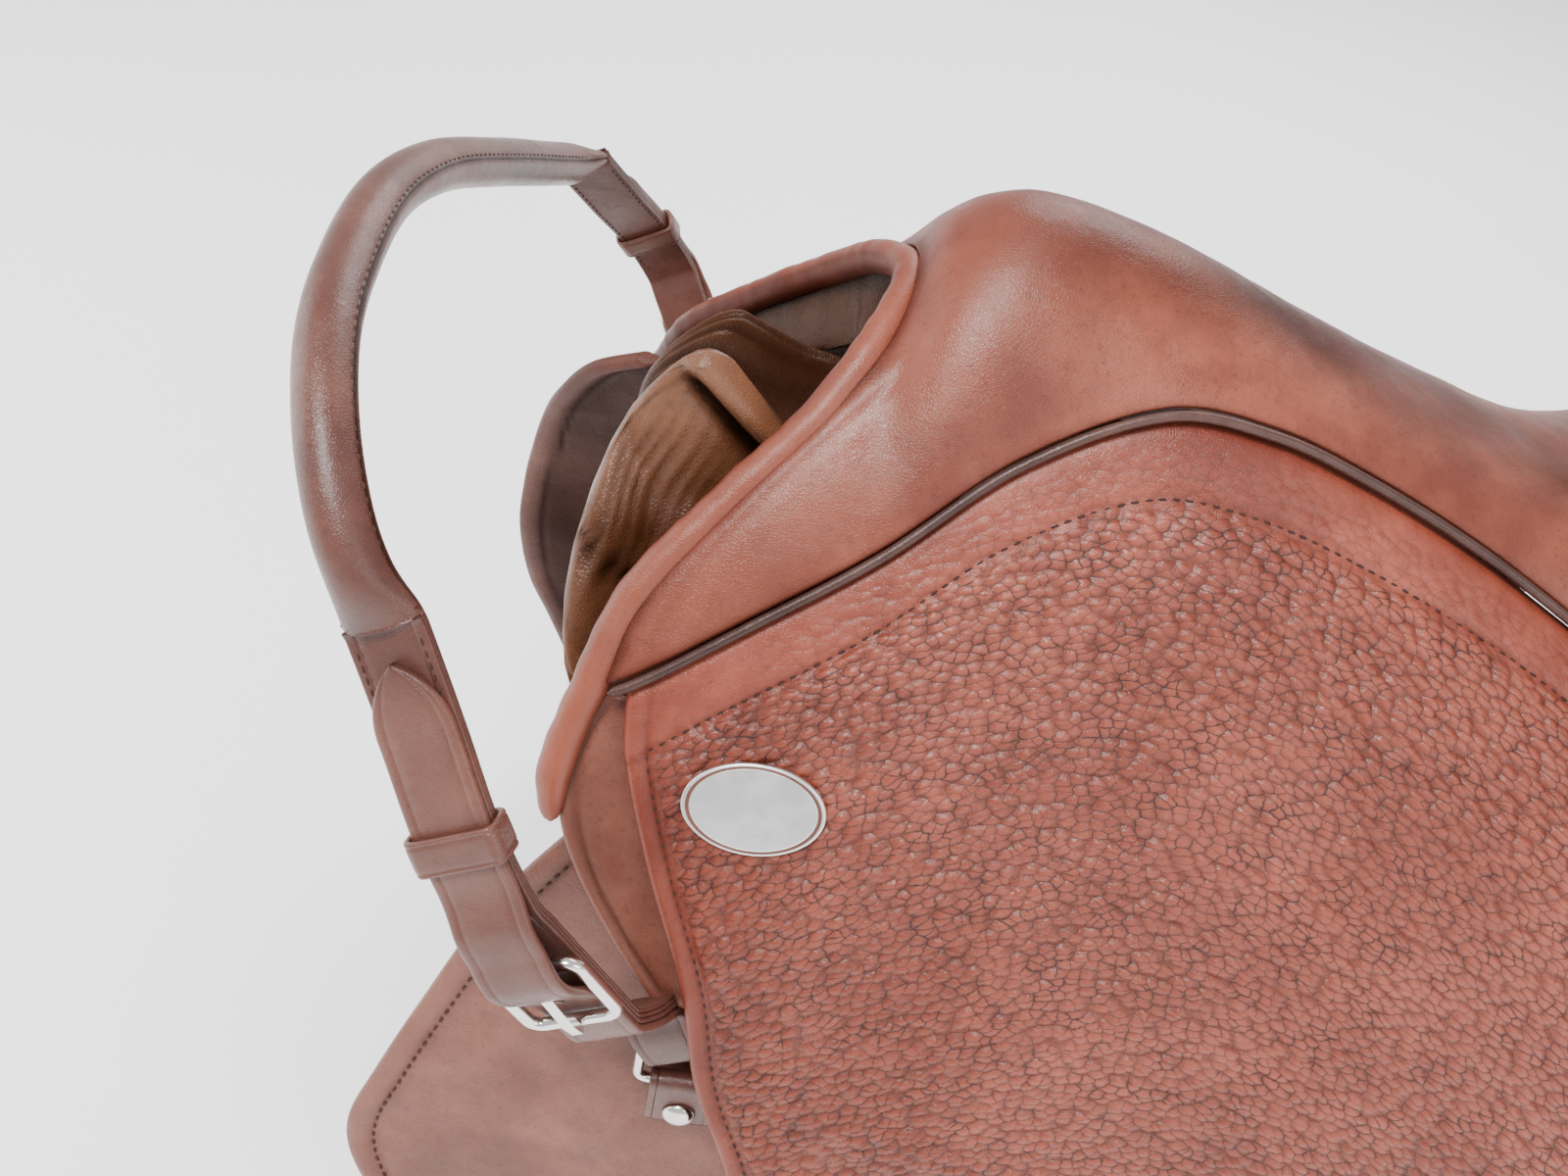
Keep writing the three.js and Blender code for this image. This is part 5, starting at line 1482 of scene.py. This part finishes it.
def strap_along(h, uy, section):
    """The middle of a strap that follows a path in the handle's plane, and its points and faces."""
    path = h.world(uy)
    across = np.broadcast_to(h.across, path.shape)
    out = unit(np.cross(unit(np.gradient(path, axis=0)), across))
    return path, sweep(path, across, out * np.sign(out[5] @ h.out), section)


BASE_LAYERS = ((0.05, 1.75, 2), (1.8, 3.3, 4), (3.35, 4.75, 1))   # depths, and mm past the strap's end


def build_strap(name, side):
    h = HandleSide(side)
    tip = h.end - 8
    # the billet: from its tip down the outside, through the buckle, round the ring and a little way up again
    u_out = np.linspace(tip, 13, 420)
    outside = h.flat(u_out, h.spread(u_out) + h.rise(u_out) + BILLET_THICK / 2)
    turn = np.linspace(0, math.pi, 22)[1:-1]
    bend = 2.35 + 1.5
    loop = np.stack([10.2 - np.sin(turn) * 3.4, RING_Y + np.cos(turn) * bend], -1)
    u_in = np.linspace(13, 40, 60)
    inside = h.flat(u_in, -h.spread(u_in) - h.base_thick(u_in) / 2)
    uy = evenly(np.concatenate([outside, loop, inside]), 1.1)
    arc = arc_along(h.world(uy))
    section = ribbon_section(gothic_half_width(arc, STRAP_HALF), 3.1)
    path, made = strap_along(h, uy, section)
    shade = 0.12 + 0.25 * np.exp(-(arc / 8) ** 2)
    worn = 0.3 + 0.2 * wavy(path, 40, 51) + 0.3 * np.exp(-((arc - (tip - HEEL_AT)) / 14) ** 2)
    per_point = lambda v: np.repeat(np.clip(v, 0, 1), section.shape[1])
    billet = add_piece(f"handle_billet_{name}", *made, STRAP_HIDE, "strap_hide", shade=per_point(shade),
                       worn=per_point(worn))
    at, along, normal = h.frame_at(98, h.rise(98.0) + 2)
    punch(billet, [at], [(normal, along)], 2.6, 6, long=9)

    # the base strap: three layers sewn together, up to the grip
    layers = []
    for k, (low, high, past_end) in enumerate(BASE_LAYERS):
        u = np.linspace(30 + 4 * k, h.end + past_end, 240)
        uy = evenly(h.flat(u, -h.spread(u) - (low + high) / 2), 1.1)
        wide = np.full(len(uy), STRAP_HALF - 0.2 * k)
        section = ribbon_section(wide, high - low, crease_deep=0.12 if k else 0.3)
        layers.append(strap_along(h, uy, section)[1])
    base = add_piece(f"handle_base_{name}", *joined(layers), STRAP_HIDE, "strap_hide", shade=0.25, worn=0.2)
    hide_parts(f"handle_strap_{name}")
    threads = []
    for w in (-STRAP_HALF + 2.4, STRAP_HALF - 2.4):
        u = np.linspace(150, h.end - 2, 90)
        for d, facing in ((-h.spread(u) + 0.1, 1), (-h.spread(u) - 4.75, -1)):
            row = evenly(h.world(h.flat(u, d), np.full(len(u), w)), 0.8)
            away = np.cross(np.gradient(row, axis=0), h.across)
            threads.append(stitches(row, unit(away) * sign_of(away, h.out * facing), 3.6, 2.5, 0.36, 0.05))
    thread = add_piece(f"handle_stitching_{name}", *joined(threads), SEAM_THREAD)
    ride_all("handle", billet, base, thread)
    build_keeper(name, h)
    build_buckle(name, h)


def sign_of(vectors, direction):
    return np.sign(vectors @ direction)[:, None]


def rounded_loop(half_a, half_b, r, step=0.8):
    """A closed rounded rectangle, centred, as points step mm apart."""
    turn = np.linspace(0, math.pi / 2, 10)
    corner = np.stack([np.cos(turn), np.sin(turn)], -1) * r
    parts = []
    for k, (a, b) in enumerate(((1, 1), (-1, 1), (-1, -1), (1, -1))):
        c, s = math.cos(k * math.pi / 2), math.sin(k * math.pi / 2)
        parts.append(corner @ np.array([[c, s], [-s, c]]) + (a * (half_a - r), b * (half_b - r)))
    path = np.concatenate(parts + [parts[0][:1]])
    return evenly(path, step)[:-1]


def build_keeper(name, h):
    """The loop that holds the billet's end."""
    at, along, out = h.frame_at(KEEPER_AT, 0)
    low, high = -BASE_THICK - 1.7, BILLET_THICK + 2.1
    loop = rounded_loop((high - low) / 2, STRAP_HALF + 1.4, 2.6)
    path = at + (loop[:, :1] + (high + low) / 2) * out + loop[:, 1:] * h.across
    ahead = unit(np.roll(path, -1, 0) - np.roll(path, 1, 0))
    wide = np.broadcast_to(along, path.shape)
    face = unit(np.cross(ahead, wide))
    face = face * np.sign(np.sum(face * (path - path.mean(0)), -1, keepdims=True))
    section = ribbon_section(np.full(len(path), KEEPER_LONG / 2), KEEPER_THICK, 3.4, 0.3)
    made = sweep(path, wide, face, section, closed=True)
    keeper = add_piece(f"keeper_loop_{name}", *made, STRAP_HIDE, "strap_hide", worn=0.25, shade=0.1)
    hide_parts(f"handle_keeper_{name}")
    ride_all("handle", keeper)


def build_buckle(name, h):
    at, along, out = h.frame_at(BUCKLE_AT, BUCKLE_LIFT)
    loop = rounded_loop(BUCKLE_HALF_LONG - BUCKLE_BAR / 2, BUCKLE_HALF_WIDE - BUCKLE_BAR / 2, 4.6, 0.7)
    path = at + loop[:, :1] * along + loop[:, 1:] * h.across
    # the bars are a little squarer than round
    angle = np.arange(20) * 2 * math.pi / 20
    crown = np.sign(np.sin(angle)) * np.abs(np.sin(angle)) ** 0.8
    section = np.stack([np.cos(angle) * 2.0, crown * 2.2], -1)
    section = np.broadcast_to(section, (len(path), len(angle), 2))
    frames_up = np.broadcast_to(out, path.shape)
    ahead = unit(np.roll(path, -1, 0) - np.roll(path, 1, 0))
    made = sweep(path, frames_up, np.cross(ahead, frames_up), section, closed=True)
    buckle = add_piece(f"buckle_{name}", *made, POLISHED_STEEL, "polished_steel")
    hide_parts(f"buckle_frame_{name}")
    ride_all("handle", buckle)
    dress(f"buckle_prong_{name}", POLISHED_STEEL, 0.55)


def build_grip():
    points = RINGS_AT + np.array([(u * HANDLE_UP[0], y, u * HANDLE_UP[2]) for u, y in GRIP_ROUTE])
    path = curve_through(points, 1.3)
    arc = arc_along(path)
    normal = np.cross(HANDLE_UP, (0, 1, 0))
    normal = normal * np.sign(normal[2])
    ahead = unit(np.gradient(path, axis=0))
    square = np.broadcast_to(normal, path.shape)
    inward = np.cross(square, ahead)
    middle = path[len(path) // 2]
    inward = inward * np.sign(inward[len(path) // 2] @ (RINGS_AT - middle))
    sides = 44
    angle = np.arange(sides) * 2 * math.pi / sides
    seam_angle = math.radians(82)
    flatten = np.exp(-(arc / 11) ** 2) + np.exp(-((arc[-1] - arc) / 11) ** 2)
    flatten = flatten[:, None]
    radius = GRIP_R * (1 + 0.012 * wavy(path, 45, 61))[:, None]
    bead = np.angle(np.exp(1j * (angle - seam_angle)))[None, :]
    lip = -0.55 * np.exp(-(bead / 0.055) ** 2) + 0.25 * np.exp(-((np.abs(bead) - 0.2) / 0.12) ** 2)
    wrinkle = 0.25 * np.sin(arc / 2.6)[:, None] * np.clip(np.cos(angle)[None, :], 0, 1) ** 2
    turning = np.abs(np.gradient(np.unwrap(np.arctan2(path[:, 1], path[:, 2])), arc))
    wrinkle = wrinkle * smooth01((turning - 0.004) / 0.01)[:, None]
    r = radius + lip + wrinkle
    in_plane = r * np.cos(angle)[None, :] * lerp(1, 0.6, np.clip(flatten, 0, 1))
    off_plane = r * np.sin(angle)[None, :] * lerp(1, 1.36, np.clip(flatten, 0, 1))
    section = np.stack([in_plane, off_plane], -1)
    made = sweep(path, inward, square, section)
    # painted highlight: the grip is lighter on its upper outer side; painted shade along the seam
    high = np.clip(np.sin(angle) * 0.4 - np.cos(angle) * 0.5, 0, 1)[None, :] + 0 * arc[:, None]
    seam_shade = 0.8 * np.exp(-(bead / 0.09) ** 2) + 0 * arc[:, None] + 0.12
    grip = add_piece("grip_leather", *made, STRAP_HIDE, "strap_hide", worn=(0.35 * high).ravel(),
                     shade=np.clip(seam_shade, 0, 1).ravel())
    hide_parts("handle_grip")
    row_angle = seam_angle + 0.16
    direction = math.cos(row_angle) * inward + math.sin(row_angle) * square
    keep = (arc > 12) & (arc < arc[-1] - 12)
    row = (path + direction * (GRIP_R + 0.05))[keep]
    sewn = stitches(evenly(row, 0.8), resampled(direction[keep], row), 4.0, 2.8, 0.4, 0.1)
    thread = add_piece("grip_stitching", *sewn, SEAM_THREAD)
    ride_all("handle", grip, thread)


def resampled(values, row):
    """Values along a row, at the even spacing that stitches use."""
    arc = arc_along(row)
    even = arc_along(evenly(row, 0.8))
    return np.stack([np.interp(even, arc, values[:, k]) for k in range(3)], -1)


def build_hidden_steel(name):
    dress(f"stirrup_bar_{name}", FORGED_STEEL, 1.0)
    dress(f"stirrup_catch_{name}", FORGED_STEEL, 0.7)


make_camera()
make_room()
build_seat()
build_under_seat()
build_pommel()
build_cantle()
for side_name, side_sign in SIDES:
    build_welt(side_name, side_sign)
    build_flap(side_name, side_sign)
    build_side_pieces(side_name, side_sign)
    build_panel(side_name, side_sign)
    build_girth_straps(side_name, side_sign)
    build_web(side_name, side_sign)
    build_ring(side_name, side_sign)
    build_strap(side_name, side_sign)
    build_hidden_steel(side_name)
build_grip()
